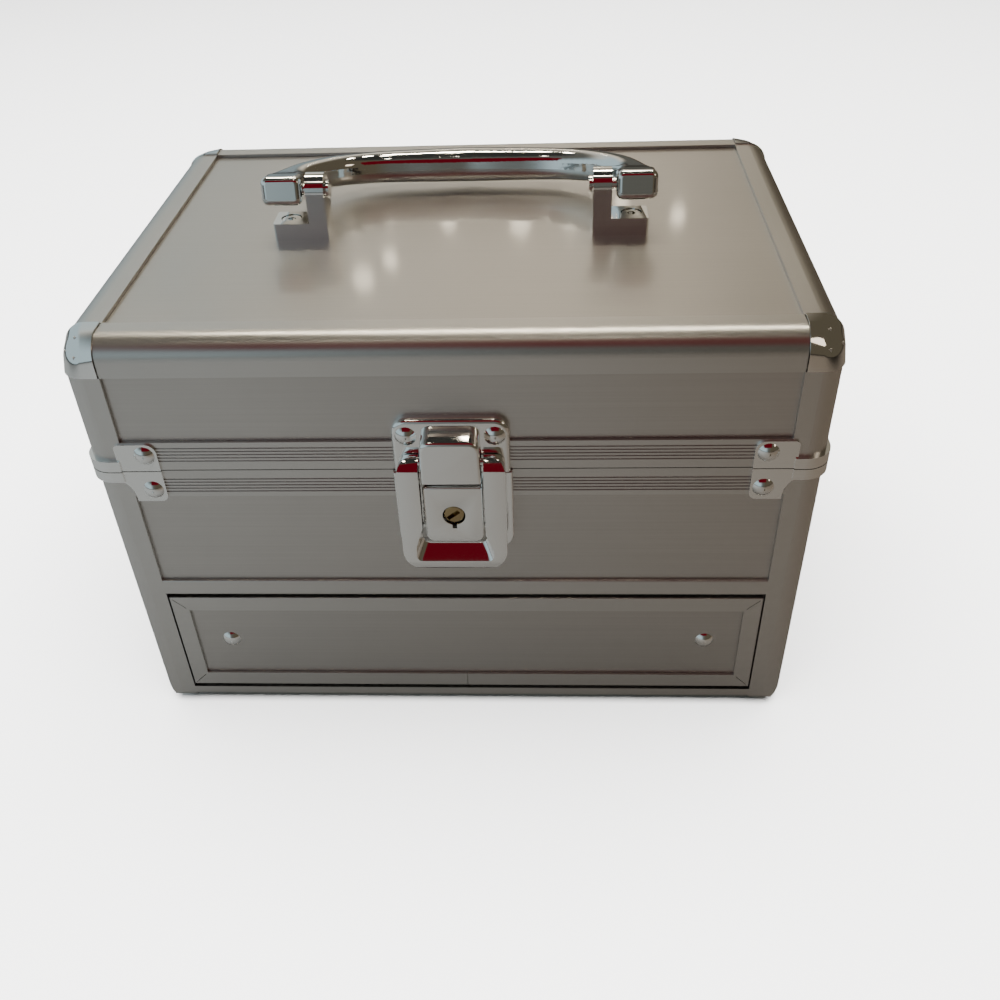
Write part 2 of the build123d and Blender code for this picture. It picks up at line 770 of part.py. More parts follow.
export_step(latch_base_plate.part, "parts/latch_base_plate.step")

# Lock body: a pressed cup on the base plate with a hole and a notch for the key.
lock_top = split - lock_drop
cylinder_z = split - cylinder_drop
lock_seat = face_plane((0, front - base_plate_thickness, lock_top), (0, -1, 0))
lock_depth = lock_reach - base_plate_thickness
with BuildPart() as lock_body:
    with BuildSketch(lock_seat):
        Rectangle(2 * nose_half_width, lock_height, align=(Align.CENTER, Align.MAX))
        fillet(vertices().group_by(Axis.Y)[0], lock_corner)
        fillet(vertices().group_by(Axis.Y)[-1], lock_top_corner)
    extrude(amount=lock_depth)
    fillet(faces().sort_by(Axis.Y)[0].outer_wire().edges(), plate_edge_round)
    with BuildSketch(lock_seat):
        with Locations((0, -lock_wall)):
            hollow = (2 * (nose_half_width - lock_wall), lock_height - 2 * lock_wall)
            Rectangle(*hollow, align=(Align.CENTER, Align.MAX))
        fillet(vertices().group_by(Axis.Y)[0], lock_corner - lock_wall)
    extrude(amount=lock_depth - lock_wall, mode=Mode.SUBTRACT)
    with BuildSketch(face_plane((0, front - lock_reach, cylinder_z), (0, -1, 0))):
        Circle(cylinder_radius + pin_fit)
        with Locations((0, -cylinder_radius)):
            Rectangle(keyway_width, 2 * keyway_width)
    extrude(amount=-2 * lock_wall, mode=Mode.SUBTRACT)
lock_body.part.label = "lock_body"
export_step(lock_body.part, "parts/lock_body.step")

# Lock cylinder: barrel with a keyway, a collar behind the lock's face, and a cam at the back.
cylinder_back = front - base_plate_thickness - running_gap
with BuildPart() as lock_cylinder:
    with BuildSketch(face_plane((0, cylinder_back, cylinder_z), (0, -1, 0))):
        SlotCenterToCenter(cam_length - cam_width, cam_width, rotation=90)
        Circle(cylinder_radius)
    extrude(amount=cam_thickness)
    with BuildSketch(face_plane((0, cylinder_back, cylinder_z), (0, -1, 0))):
        Circle(collar_radius)
    extrude(amount=lock_depth - lock_wall - 2 * running_gap)
    with BuildSketch(face_plane((0, cylinder_back, cylinder_z), (0, -1, 0))):
        Circle(cylinder_radius)
    extrude(amount=lock_depth - 2 * running_gap)
    with BuildSketch(face_plane((0, front - lock_reach, cylinder_z), (0, -1, 0))):
        with Locations(Location((0, 0), keyway_angle)):
            Rectangle(2 * cylinder_radius - keyway_width, keyway_width)
    extrude(amount=-keyway_depth, mode=Mode.SUBTRACT)
lock_cylinder.part.label = "lock_cylinder"
export_step(lock_cylinder.part, "parts/lock_cylinder.step")

# ================= drawer =================

drawer_half_x = bar_half_x - drawer_gap
drawer_low = bottom + drawer_opening_bottom + drawer_foot_gap
drawer_high = bottom + shelf_rail_bottom - drawer_foot_gap
drawer_mid = (drawer_low + drawer_high) / 2
drawer_rise = drawer_high - drawer_low
trim_depth = 2 * trim_skin + slot_width
drawer_face = face_plane((0, front, drawer_mid), (0, -1, 0))

# Trim: one aluminium channel bent round the drawer's front, notched at the corners.
with BuildPart() as drawer_front_trim:
    with BuildSketch(drawer_face):
        Rectangle(2 * drawer_half_x, drawer_rise)
        Rectangle(
            2 * (drawer_half_x - drawer_trim_width),
            drawer_rise - 2 * drawer_trim_width,
            mode=Mode.SUBTRACT,
        )
    extrude(amount=-trim_depth)
    fillet(faces().sort_by(Axis.Y)[0].outer_wire().edges(), trim_round)
    with BuildSketch(drawer_face.offset(-trim_skin)):
        Rectangle(2 * (drawer_half_x - trim_skin), drawer_rise - 2 * trim_skin)
    extrude(amount=-slot_width, mode=Mode.SUBTRACT)
    with BuildSketch(drawer_face):
        for sx in (-1, 1):
            for sz in (-1, 1):
                reach = drawer_trim_width / 2
                notch = Location(
                    (sx * (drawer_half_x - reach), sz * (drawer_rise / 2 - reach)), 45 * sx * sz
                )
                with Locations(notch):
                    Rectangle(sqrt(2) * (drawer_trim_width - 2 * trim_skin), seam_width)
        with Locations((0, -drawer_rise / 2)):
            Rectangle(seam_width, 2 * drawer_trim_width)
    extrude(amount=-2 * trim_depth, mode=Mode.SUBTRACT)
drawer_front_trim.part.label = "drawer_front_trim"
export_step(drawer_front_trim.part, "parts/drawer_front_trim.step")

# Drawer front panel in the trim.
drawer_rivet_z = bottom + drawer_rivet_height
drawer_rivet_x = drawer_half_x - drawer_rivet_inset
panel_front = front + trim_skin + (slot_width - panel_thickness) / 2
with BuildPart() as drawer_front_panel:
    with BuildSketch(face_plane((0, panel_front, drawer_mid), (0, -1, 0))):
        inset = trim_skin + panel_play
        Rectangle(2 * (drawer_half_x - inset), drawer_rise - 2 * inset)
        with Locations(*[(sx * drawer_rivet_x, drawer_rivet_z - drawer_mid) for sx in (-1, 1)]):
            Circle(rivet_shank_radius, mode=Mode.SUBTRACT)
    extrude(amount=-panel_thickness)
drawer_front_panel.part.label = "drawer_front_panel"
export_step(drawer_front_panel.part, "parts/drawer_front_panel.step")

# Drawer tray: side boards with their runners, front and back walls and a floor.
tray_front = front + trim_depth
tray_inner_x = tray_half_x - drawer_wall
tray_mid_z = (tray_bottom + tray_top) / 2
with BuildPart() as drawer_sides:
    with BuildSketch(Plane.XZ.offset(-tray_front)):
        for sx in (-1, 1):
            with Locations((sx * (tray_half_x - drawer_wall / 2), tray_mid_z)):
                Rectangle(drawer_wall, drawer_side_height)
    extrude(amount=tray_front - tray_back)
drawer_sides.part.label = "drawer_sides"
export_step(drawer_sides.part, "parts/drawer_sides.step")

with BuildPart() as drawer_runners:
    with BuildSketch(Plane.XZ.offset(-guide_front)):
        for sx in (-1, 1):
            with Locations((sx * (tray_half_x + runner_width / 2), tray_top - runner_height / 2)):
                Rectangle(runner_width, runner_height)
    extrude(amount=guide_front - tray_back)
    fillet(edges().filter_by(Axis.Z), runner_round)
drawer_runners.part.label = "drawer_runners"
export_step(drawer_runners.part, "parts/drawer_runners.step")

with BuildPart() as drawer_front_wall:
    with BuildSketch(face_plane((0, tray_front, tray_mid_z), (0, -1, 0))):
        Rectangle(2 * tray_inner_x, drawer_side_height)
        with Locations(*[(sx * drawer_rivet_x, drawer_rivet_z - tray_mid_z) for sx in (-1, 1)]):
            Circle(rivet_shank_radius, mode=Mode.SUBTRACT)
    extrude(amount=-drawer_wall)
drawer_front_wall.part.label = "drawer_front_wall"
export_step(drawer_front_wall.part, "parts/drawer_front_wall.step")

with BuildPart() as drawer_back_wall:
    with BuildSketch(face_plane((0, tray_back, tray_mid_z), (0, 1, 0))):
        Rectangle(2 * tray_inner_x, drawer_side_height)
        with Locations((0, drawer_side_height / 2)):
            tab_rise = shelf_bottom - tray_top - stop_hang
            Rectangle(tab_width, 2 * tab_rise)
            fillet(vertices().group_by(Axis.Y)[-1], stop_round)
    extrude(amount=-drawer_wall)
drawer_back_wall.part.label = "drawer_back_wall"
export_step(drawer_back_wall.part, "parts/drawer_back_wall.step")

with BuildPart() as drawer_floor:
    with BuildSketch(Plane.XY.offset(tray_bottom)):
        with Locations((0, (tray_front + drawer_wall + tray_back_front) / 2)):
            Rectangle(2 * tray_inner_x, tray_back_front - tray_front - drawer_wall)
    extrude(amount=drawer_wall)
drawer_floor.part.label = "drawer_floor"
export_step(drawer_floor.part, "parts/drawer_floor.step")

with BuildPart() as drawer_lining:
    with BuildSketch(Plane.XY.offset(tray_bottom + drawer_wall)):
        with Locations((0, (tray_front + drawer_wall + tray_back_front) / 2)):
            lining_depth = tray_back_front - tray_front - drawer_wall - lining
            Rectangle(2 * tray_inner_x - lining, lining_depth)
    extrude(amount=lining)
drawer_lining.part.label = "drawer_lining"
export_step(drawer_lining.part, "parts/drawer_lining.step")

with BuildPart() as drawer_rivets:
    drawer_grip = tray_front + drawer_wall - panel_front
    with Locations(*[facing(sx * drawer_rivet_x, panel_front, drawer_rivet_z, (0, -1, 0))
                     for sx in (-1, 1)]):
        add(rivet(rivet_head_radius, rivet_head_height, drawer_grip))
drawer_rivets.part.label = "drawer_rivets"
export_step(drawer_rivets.part, "parts/drawer_rivets.step")

# ================= lid =================

# Edge profiles round the top, square ended under the corner caps.
with BuildPart() as lid_long_profiles:
    for edge_y, inward in ((front, 1), (back, -1)):
        edge = corner_plane((0, edge_y, top), (0, 0, -1), (0, inward, 0))
        with BuildSketch(edge.offset(-bar_half_x)):
            add(angle_section())
        extrude(amount=2 * bar_half_x)
lid_long_profiles.part.label = "lid_long_profiles"
export_step(lid_long_profiles.part, "parts/lid_long_profiles.step")

with BuildPart() as lid_side_profiles:
    for sx in (-1, 1):
        edge = corner_plane((sx * side, middle, top), (0, 0, -1), (-sx, 0, 0))
        with BuildSketch(edge.offset(-bar_half_y)):
            add(angle_section())
        extrude(amount=2 * bar_half_y)
lid_side_profiles.part.label = "lid_side_profiles"
export_step(lid_side_profiles.part, "parts/lid_side_profiles.step")

with BuildPart() as lid_corner_posts:
    for (x, y), inward_x, inward_y in corners:
        post_middle = (upper_edge + top - flange) / 2
        post_half = (top - flange - upper_edge) / 2
        edge = corner_plane((x, y, post_middle), (inward_x, 0, 0), (0, inward_y, 0))
        with BuildSketch(edge.offset(-post_half)):
            add(angle_section())
        extrude(amount=2 * post_half)
lid_corner_posts.part.label = "lid_corner_posts"
export_step(lid_corner_posts.part, "parts/lid_corner_posts.step")


# Corner caps: pressed shells over the meeting of three profiles.
def corner_block(size, inset, radius):
    """A block inwards and down from a corner at the origin, its three outer edges rounded."""
    with BuildPart() as block:
        with Locations((inset, inset, -inset)):
            Box(size, size, size, align=(Align.MIN, Align.MIN, Align.MAX))
        tip = Vector(inset, inset, -inset)
        outer_edges = [edge for edge in edges() if (edge @ 0 - tip).length < radius / 2
                       or (edge @ 1 - tip).length < radius / 2]
        fillet(outer_edges, radius)
    return block.part


with BuildPart() as corner_cap:
    add(corner_block(cap_reach + cap_sheet, -cap_sheet, profile_radius + cap_sheet))
    add(corner_block(2 * cap_reach, 0, profile_radius), mode=Mode.SUBTRACT)

with BuildPart() as lid_corner_caps:
    add(all_corners(corner_cap.part, top))
lid_corner_caps.part.label = "lid_corner_caps"
export_step(lid_corner_caps.part, "parts/lid_corner_caps.step")

# Lid panels.
bracket_middle_y = middle + handle_pivot_y
bracket_hole_x = bracket_inner + bracket_foot - bracket_hole_inset
bracket_holes = [(sx * bracket_hole_x, bracket_middle_y) for sx in (-1, 1)]
with BuildPart() as lid_top_panel:
    with BuildSketch(Plane.XY.offset(top - panel_inner)):
        with Locations((0, middle)):
            Rectangle(2 * panel_half_x, 2 * panel_half_y)
        with Locations(*bracket_holes):
            Circle(bolt_radius, mode=Mode.SUBTRACT)
    extrude(amount=panel_thickness)
lid_top_panel.part.label = "lid_top_panel"
export_step(lid_top_panel.part, "parts/lid_top_panel.step")

lid_panel_low = split + rim_web + panel_play
lid_panel_rise = top - panel_edge - lid_panel_low
keeper_rivets = [(sx * keeper_rivet_spacing / 2, split + keeper_rivet_height) for sx in (-1, 1)]
with BuildPart() as lid_front_panel:
    with BuildSketch(face_plane((0, front + panel_outer, lid_panel_low), (0, -1, 0))):
        Rectangle(2 * panel_half_x, lid_panel_rise, align=(Align.CENTER, Align.MIN))
        with Locations(*[(x, z - lid_panel_low) for x, z in keeper_rivets]):
            Circle(rivet_shank_radius, mode=Mode.SUBTRACT)
    extrude(amount=-panel_thickness)
lid_front_panel.part.label = "lid_front_panel"
export_step(lid_front_panel.part, "parts/lid_front_panel.step")

with BuildPart() as lid_back_panel:
    with BuildSketch(face_plane((0, back - panel_outer, lid_panel_low), (0, 1, 0))):
        Rectangle(2 * panel_half_x, lid_panel_rise, align=(Align.CENTER, Align.MIN))
    extrude(amount=-panel_thickness)
lid_back_panel.part.label = "lid_back_panel"
export_step(lid_back_panel.part, "parts/lid_back_panel.step")

with BuildPart() as lid_side_panels:
    for sx in (-1, 1):
        outer_face = face_plane((sx * (side - panel_outer), middle, lid_panel_low), (sx, 0, 0))
        with BuildSketch(outer_face):
            Rectangle(2 * panel_half_y, lid_panel_rise, align=(Align.CENTER, Align.MIN))
        extrude(amount=-panel_thickness)
lid_side_panels.part.label = "lid_side_panels"
export_step(lid_side_panels.part, "parts/lid_side_panels.step")

# Upper rim and clasps.
with BuildPart() as upper_rim:
    add(rim(upper_edge, (0, 0, 1), False, upper_rivet_z, hinge_high_z))
upper_rim.part.label = "upper_rim"
export_step(upper_rim.part, "parts/upper_rim.step")

with BuildSketch() as upper_leaf:
    with Locations((leaf_start, 0)):
        Rectangle(clasp_leaf, clasp_height, align=(Align.MIN, Align.MIN))
    fillet(vertices().group_by(Axis.Y)[-1].sort_by(Axis.X)[0], leaf_shoulder)
    fillet(vertices().group_by(Axis.Y)[-1].sort_by(Axis.X)[-1], leaf_tip)
    with Locations((clasp_rivet_inset, upper_rivet_rise - closing_gap / 2)):
        Circle(rivet_shank_radius, mode=Mode.SUBTRACT)

with BuildPart() as upper_clasps:
    add(all_corners(clasp(upper_leaf.sketch, clasp_band), upper_edge))
upper_clasps.part.label = "upper_clasps"
export_step(upper_clasps.part, "parts/upper_clasps.step")

with BuildPart() as hinge_upper_leaves:
    add(hinge_leaf(-hinge_centre, 1, (1, 3)))
    add(hinge_leaf(hinge_centre, 1, (1, 3)))
hinge_upper_leaves.part.label = "hinge_upper_leaves"
export_step(hinge_upper_leaves.part, "parts/hinge_upper_leaves.step")

# Latch keeper: a cast plate with the nose that carries the latch ring's pin.
ring_pivot = (front - ring_pivot_out, split + ring_pivot_rise)
with BuildPart() as latch_keeper:
    with BuildSketch(face_plane((0, front + panel_outer, upper_edge), (0, -1, 0))):
        Rectangle(2 * plate_half_width, keeper_height, align=(Align.CENTER, Align.MIN))
        fillet(vertices().group_by(Axis.Y)[-1], plate_corner)
    extrude(amount=panel_outer + keeper_face)
    with BuildSketch(face_plane((0, front, upper_edge), (0, -1, 0))):
        rim_size = rim_height - closing_gap / 2
        Rectangle(2 * side, rim_size, align=(Align.CENTER, Align.MIN))
    extrude(amount=-panel_outer, mode=Mode.SUBTRACT)
    fillet(faces().sort_by(Axis.Y)[0].outer_wire().edges().sort_by(Axis.Z)[1:], keeper_round)
    with BuildSketch(Plane.YZ.offset(-nose_half_width)):
        with BuildLine():
            Polyline(
                (front - keeper_face / 2, upper_edge),
                (front - nose_reach, upper_edge),
                (front - nose_reach, split + nose_height),
                (front - nose_reach + nose_lip, split + nose_height + nose_lip / 2),
                (front - keeper_face / 2, split + keeper_height - nose_set_back),
                close=True,
            )
        make_face()
    extrude(amount=2 * nose_half_width)
    nose_front = faces().sort_by(Axis.Y)[0]
    fillet(nose_front.edges().sort_by(Axis.Z)[1:], nose_round)
    with Locations(Location(Plane(origin=(0, *ring_pivot), z_dir=(1, 0, 0)))):
        Cylinder(ring_pin_radius + pin_fit, 4 * nose_half_width, mode=Mode.SUBTRACT)
    with Locations(*[facing(x, front - keeper_face, z, (0, -1, 0)) for x, z in keeper_rivets]):
        Cylinder(rivet_shank_radius, 4 * keeper_face, mode=Mode.SUBTRACT)
latch_keeper.part.label = "latch_keeper"
export_step(latch_keeper.part, "parts/latch_keeper.step")

# Rivets of the lid: clasps, hinge leaves and keeper.
with BuildPart() as lid_rivets:
    with Locations(*clasp_rivet_seats(upper_rivet_z, clasp_sheet)):
        add(rivet(rivet_head_radius, rivet_head_height, clasp_sheet + outer_skin))
    with Locations(*hinge_rivet_seats(hinge_high_z, leaf_thickness)):
        add(rivet(small_head_radius, small_head_height, leaf_thickness + outer_skin))
    with Locations(*[facing(x, front - keeper_face, z, (0, -1, 0)) for x, z in keeper_rivets]):
        add(rivet(rivet_head_radius, rivet_head_height, keeper_face + panel_inner))
lid_rivets.part.label = "lid_rivets"
export_step(lid_rivets.part, "parts/lid_rivets.step")

# Handle brackets: an L with a foot on the lid and an upright ear for the pivot pin.
bracket_seat = top - panel_outer
pivot_z = top + handle_pivot_height
with BuildPart() as handle_brackets:
    for sx in (-1, 1):
        with BuildSketch(Plane.YZ.offset(sx * bracket_inner)):
            with Locations((bracket_middle_y, bracket_seat)):
                ear_rise = pivot_z - bracket_seat
                Rectangle(bracket_depth, ear_rise, align=(Align.CENTER, Align.MIN))
            with Locations((bracket_middle_y, pivot_z)):
                Circle(bracket_depth / 2)
                Circle(handle_pin_radius + pin_fit, mode=Mode.SUBTRACT)
        extrude(amount=sx * bracket_ear)
        foot_centre = (sx * (bracket_inner + bracket_foot / 2), bracket_middle_y, bracket_seat)
        with Locations(foot_centre):
            Box(
                bracket_foot,
                bracket_depth,
                bracket_foot_height,
                align=(Align.CENTER, Align.CENTER, Align.MIN),
            )
    outer_walls = faces().filter_by(Axis.X).sort_by(Axis.X)
    foot_ends = [outer_walls[0], outer_walls[-1]]
    fillet([edge for end in foot_ends for edge in end.edges().filter_by(Axis.Z)], bracket_round)
    foot_top = bracket_seat + bracket_foot_height
    with Locations(*[(x, y, foot_top) for x, y in bracket_holes]):
        CounterBoreHole(bolt_radius, bolt_head_radius + running_gap, bolt_head_height)
handle_brackets.part.label = "handle_brackets"
export_step(handle_brackets.part, "parts/handle_brackets.step")

# Bolts through feet and lid panel, with nuts inside the lid.
nut_seat = top - panel_inner
with BuildPart() as bracket_bolts:
    with BuildSketch(Plane.XY.offset(foot_top - bolt_head_height)):
        with Locations(*bracket_holes):
            Circle(bolt_head_radius)
    extrude(amount=bolt_head_height - running_gap)
    with BuildSketch(Plane.XY.offset(foot_top)):
        with Locations(*bracket_holes):
            RegularPolygon(bolt_socket_radius, 6)
    extrude(amount=-bolt_socket_depth, mode=Mode.SUBTRACT)
    with BuildSketch(Plane.XY.offset(nut_seat - nut_height)):
        with Locations(*bracket_holes):
            Circle(bolt_radius)
    extrude(amount=foot_top - bolt_head_height - nut_seat + nut_height)
bracket_bolts.part.label = "bracket_bolts"
export_step(bracket_bolts.part, "parts/bracket_bolts.step")

with BuildPart() as bracket_nuts:
    with BuildSketch(Plane.XY.offset(nut_seat)):
        with Locations(*bracket_holes):
            RegularPolygon(nut_radius, 6)
            Circle(bolt_radius, mode=Mode.SUBTRACT)
    extrude(amount=-nut_height)
bracket_nuts.part.label = "bracket_nuts"
export_step(bracket_nuts.part, "parts/bracket_nuts.step")

with BuildPart() as lid_lining:
    with BuildSketch(Plane.XY.offset(nut_seat)):
        with Locations((0, middle)):
            lining_edge = flange + panel_play
            Rectangle(2 * (side - lining_edge), case_depth - 2 * lining_edge)
        with Locations(*bracket_holes):
            Circle(nut_radius + lining, mode=Mode.SUBTRACT)
    extrude(amount=-lining)
lid_lining.part.label = "lid_lining"
export_step(lid_lining.part, "parts/lid_lining.step")

# ================= latch ring =================

def front_point(out, rise):
    """A point of an upright section, given out from the case's front and up from the split."""
    return (front - out, split + rise)


# The ring: a cast frame whose side profile swings out over the lock.
with BuildPart() as latch_ring:
    with BuildSketch(face_plane((0, front, split), (0, -1, 0))):
        outline_top = ring_pivot_rise + ring_eye_radius
        with Locations((0, -ring_bottom_drop)):
            outline = (2 * ring_half_width, ring_bottom_drop + outline_top)
            Rectangle(*outline, align=(Align.CENTER, Align.MIN))
        fillet(vertices().group_by(Axis.Y)[0], ring_corner)
        fillet(vertices().group_by(Axis.Y)[-1], ring_window_corner)
    extrude(amount=2 * ring_reach)
    with BuildSketch(Plane.YZ.offset(-side)):
        with BuildLine():
            Polyline(
                front_point(ring_pivot_out + ring_eye_radius, ring_pivot_rise),
                front_point(ring_waist[1], -ring_waist_drop[1]),
                front_point(ring_reach, -ring_bar_drops[3]),
                front_point(ring_reach, -ring_bar_drops[2]),
                front_point(ring_bar_faces[1], -ring_bottom_drop),
                front_point(ring_bar_faces[0], -ring_bottom_drop),
                front_point(ring_bar_back, -ring_bar_drops[1]),
                front_point(ring_bar_back, -ring_bar_drops[0]),
                front_point(ring_waist[0], -ring_waist_drop[0]),
                front_point(ring_pivot_out - ring_eye_radius, ring_pivot_rise),
            )
            ThreePointArc(
                front_point(ring_pivot_out - ring_eye_radius, ring_pivot_rise),
                front_point(ring_pivot_out, ring_pivot_rise + ring_eye_radius),
                front_point(ring_pivot_out + ring_eye_radius, ring_pivot_rise),
            )
        make_face()
    extrude(amount=2 * side, mode=Mode.INTERSECT)
    with BuildSketch(face_plane((0, front, split), (0, -1, 0))):
        window_half = ring_half_width - ring_bar
        with Locations((0, -ring_window_drop)):
            window = (2 * window_half, ring_window_drop + ring_top_rise)
            Rectangle(*window, align=(Align.CENTER, Align.MIN))
        fillet(vertices().group_by(Axis.Y)[0], ring_window_corner)
        arm_space = nose_half_width + ring_arm_gap
        Rectangle(2 * arm_space, 2 * outline_top, align=(Align.CENTER, Align.MIN))
    extrude(amount=2 * ring_reach, mode=Mode.SUBTRACT)
    pin_line = Plane(origin=(0, *ring_pivot), z_dir=(1, 0, 0))
    with Locations(Location(pin_line)):
        Cylinder(ring_pin_radius, 2 * (arm_space + ring_pin_bite), mode=Mode.SUBTRACT)
latch_ring.part.label = "latch_ring"
export_step(latch_ring.part, "parts/latch_ring.step")

with BuildPart() as latch_pin:
    with Locations(Location(pin_line)):
        Cylinder(ring_pin_radius, 2 * (arm_space + ring_pin_bite))
latch_pin.part.label = "latch_pin"
export_step(latch_pin.part, "parts/latch_pin.step")

# ================= handle =================

fold = radians(handle_fold)
handle_plane = Plane(
    origin=(0, bracket_middle_y, pivot_z), x_dir=(1, 0, 0), z_dir=(0, sin(fold), cos(fold))
)
block_inner = bracket_inner + bracket_ear + ear_gap
lead_angle = degrees(atan2(arm_turn[1] - arm_lead[1], arm_turn[0] - arm_lead[0]))
block_middle = block_inner + block_length / 2


def grip_stations():
    """Planes across the handle from right to left, each with its share of the way to the middle."""
    with BuildLine() as bow:
        lead = Line(arm_lead, arm_turn)
        turn = JernArc(lead @ 1, lead % 1, arm_bend, 180 - lead_angle - grip_slope)
        Spline(turn @ 1, (0, grip_reach), tangents=(turn % 1, (-1, 0)))
    path = bow.wire()
    right = []
    left = []
    for share in arm_shares:
        place = path.position_at(share)
        along = path.tangent_at(share)
        right.append((share, Plane(origin=place, x_dir=(0, 0, 1), z_dir=along)))
        mirrored = (-place.X, place.Y, 0)
        onward = (along.X, -along.Y, 0)
        left.append((share, Plane(origin=mirrored, x_dir=(0, 0, 1), z_dir=onward)))
    return right + left[-2::-1]


def flat_handle():
    """The handle in its own plane: each end block narrows into an arm that turns into the grip."""
    with BuildPart() as whole:
        with BuildSketch(Plane((block_middle, block_size / 4, 0), (0, 0, 1), (0, 1, 0))):
            RectangleRounded(block_size, block_length, block_round)
        for share, across in grip_stations():
            near = (share - arm_shares[0]) / (1 - arm_shares[0])
            with BuildSketch(across):
                RectangleRounded(
                    arm_height + near * (grip_thickness - arm_height),
                    arm_width + near * (grip_thickness - arm_width),
                    arm_round + near * (grip_round - arm_round),
                )
        with BuildSketch(Plane((-block_middle, block_size / 4, 0), (0, 0, 1), (0, -1, 0))):
            RectangleRounded(block_size, block_length, block_round)
        loft()
        for sx in (-1, 1):
            with BuildSketch(Plane((sx * block_middle, block_size / 4, 0), (0, 0, 1), (0, -1, 0))):
                RectangleRounded(block_size, block_length, block_round)
            extrude(amount=block_size * 3 / 4)
            front_rim = faces().filter_by(Axis.Y).filter_by(lambda face: face.center().X * sx > 0)
            fillet(front_rim.sort_by(Axis.Y)[0].edges(), block_round * 0.8)
            with Locations(Location((sx * block_inner, 0, 0), (0, 90 * sx, 0))):
                Cylinder(
                    handle_pin_radius,
                    handle_pin_bite,
                    align=(Align.CENTER, Align.CENTER, Align.MIN),
                    mode=Mode.SUBTRACT,
                )
    return whole.part


with BuildPart() as handle:
    with Locations(Location(handle_plane)):
        add(flat_handle())
handle.part.label = "handle"
export_step(handle.part, "parts/handle.step")

# Pivot pins, pressed into the end blocks and headed inside the brackets.
with BuildPart() as handle_pins:
    for sx in (-1, 1):
        head_plane = Plane(
            origin=(sx * (bracket_inner - running_gap), bracket_middle_y, pivot_z), z_dir=(sx, 0, 0)
        )
        with BuildSketch(head_plane):
            Circle(handle_pin_radius)
        extrude(amount=block_inner + handle_pin_bite - bracket_inner + running_gap)
        with BuildSketch(head_plane):
            Circle(handle_pin_head[0])
        extrude(amount=-handle_pin_head[1])
handle_pins.part.label = "handle_pins"
export_step(handle_pins.part, "parts/handle_pins.step")

# ================= lid stays =================

stay_lift = rim_height + stay_base_radius + running_gap
stay_reach = sqrt(stay_length**2 - stay_lift**2)
stay_back_y = hinge_y - stay_reach
elbow_y = hinge_y - 2 * stay_reach
near_layer = side - panel_inner - stay_stand_off
far_layer = near_layer - stay_sheet - stay_layer_gap


def stay_posts(height, layer):
    """Headed pivot posts on both side panels, for links in the given layer."""
    with BuildPart() as posts:
        for sx in (-1, 1):
            foot = Plane(origin=(sx * (side - panel_inner), stay_back_y, height), z_dir=(-sx, 0, 0))
            reach = side - panel_inner - layer
            with BuildSketch(foot):
                Circle(stay_base_radius)
            extrude(amount=stay_base_height)
            with BuildSketch(foot):
                Circle(stay_shoulder_radius)
            extrude(amount=reach - stay_layer_gap)
            with BuildSketch(foot):
                Circle(stay_pin_radius)
            extrude(amount=reach + stay_sheet + stay_layer_gap)
            with BuildSketch(foot.offset(reach + stay_sheet + stay_layer_gap)):
                Circle(stay_head_radius)
            extrude(amount=stay_head_height)
    return posts.part


def stay_link(sx, pivot_height, layer, elbow_hole):
    """A flat link from its post to the elbow, in the given layer."""
    link_middle = ((stay_back_y + elbow_y) / 2, (pivot_height + split) / 2)
    rise = split - pivot_height
    tilt = degrees(atan2(rise, elbow_y - stay_back_y))
    with BuildPart() as link:
        with BuildSketch(Plane.YZ.offset(sx * layer)):
            with Locations(Location((*link_middle, 0), (0, 0, tilt))):
                SlotCenterToCenter(stay_length, stay_width)
            with Locations((stay_back_y, pivot_height)):
                Circle(stay_pin_radius + pin_fit, mode=Mode.SUBTRACT)
            with Locations((elbow_y, split)):
                Circle(elbow_hole, mode=Mode.SUBTRACT)
        extrude(amount=-sx * stay_sheet)
    return link.part


def elbow_rivet(sx):
    """The rivet pressed into the upper link at the elbow, standing through the lower link."""
    with BuildPart() as elbow:
        with BuildSketch(Plane.YZ.offset(sx * near_layer)):
            with Locations((elbow_y, split)):
                Circle(stay_pin_radius)
        extrude(amount=-sx * (2 * stay_sheet + stay_layer_gap))
        with BuildSketch(Plane.YZ.offset(sx * (far_layer - stay_sheet))):
            with Locations((elbow_y, split)):
                Circle(stay_head_radius)
        extrude(amount=-sx * stay_head_height)
    return elbow.part


with BuildPart() as stay_lower_posts:
    add(stay_posts(split - stay_lift, near_layer))
stay_lower_posts.part.label = "stay_lower_posts"
export_step(stay_lower_posts.part, "parts/stay_lower_posts.step")

with BuildPart() as stay_upper_posts:
    add(stay_posts(split + stay_lift, far_layer))
stay_upper_posts.part.label = "stay_upper_posts"
export_step(stay_upper_posts.part, "parts/stay_upper_posts.step")

with BuildPart() as stay_lower_link_left:
    add(stay_link(-1, split - stay_lift, near_layer, stay_pin_radius + elbow_clearance))
stay_lower_link_left.part.label = "stay_lower_link_left"
export_step(stay_lower_link_left.part, "parts/stay_lower_link_left.step")

with BuildPart() as stay_lower_link_right:
    add(stay_link(1, split - stay_lift, near_layer, stay_pin_radius + elbow_clearance))
stay_lower_link_right.part.label = "stay_lower_link_right"
export_step(stay_lower_link_right.part, "parts/stay_lower_link_right.step")

with BuildPart() as stay_upper_link_left:
    add(stay_link(-1, split + stay_lift, far_layer, stay_pin_radius))
    add(elbow_rivet(-1))
stay_upper_link_left.part.label = "stay_upper_link_left"
export_step(stay_upper_link_left.part, "parts/stay_upper_link_left.step")

with BuildPart() as stay_upper_link_right:
    add(stay_link(1, split + stay_lift, far_layer, stay_pin_radius))
    add(elbow_rivet(1))
stay_upper_link_right.part.label = "stay_upper_link_right"
export_step(stay_upper_link_right.part, "parts/stay_upper_link_right.step")
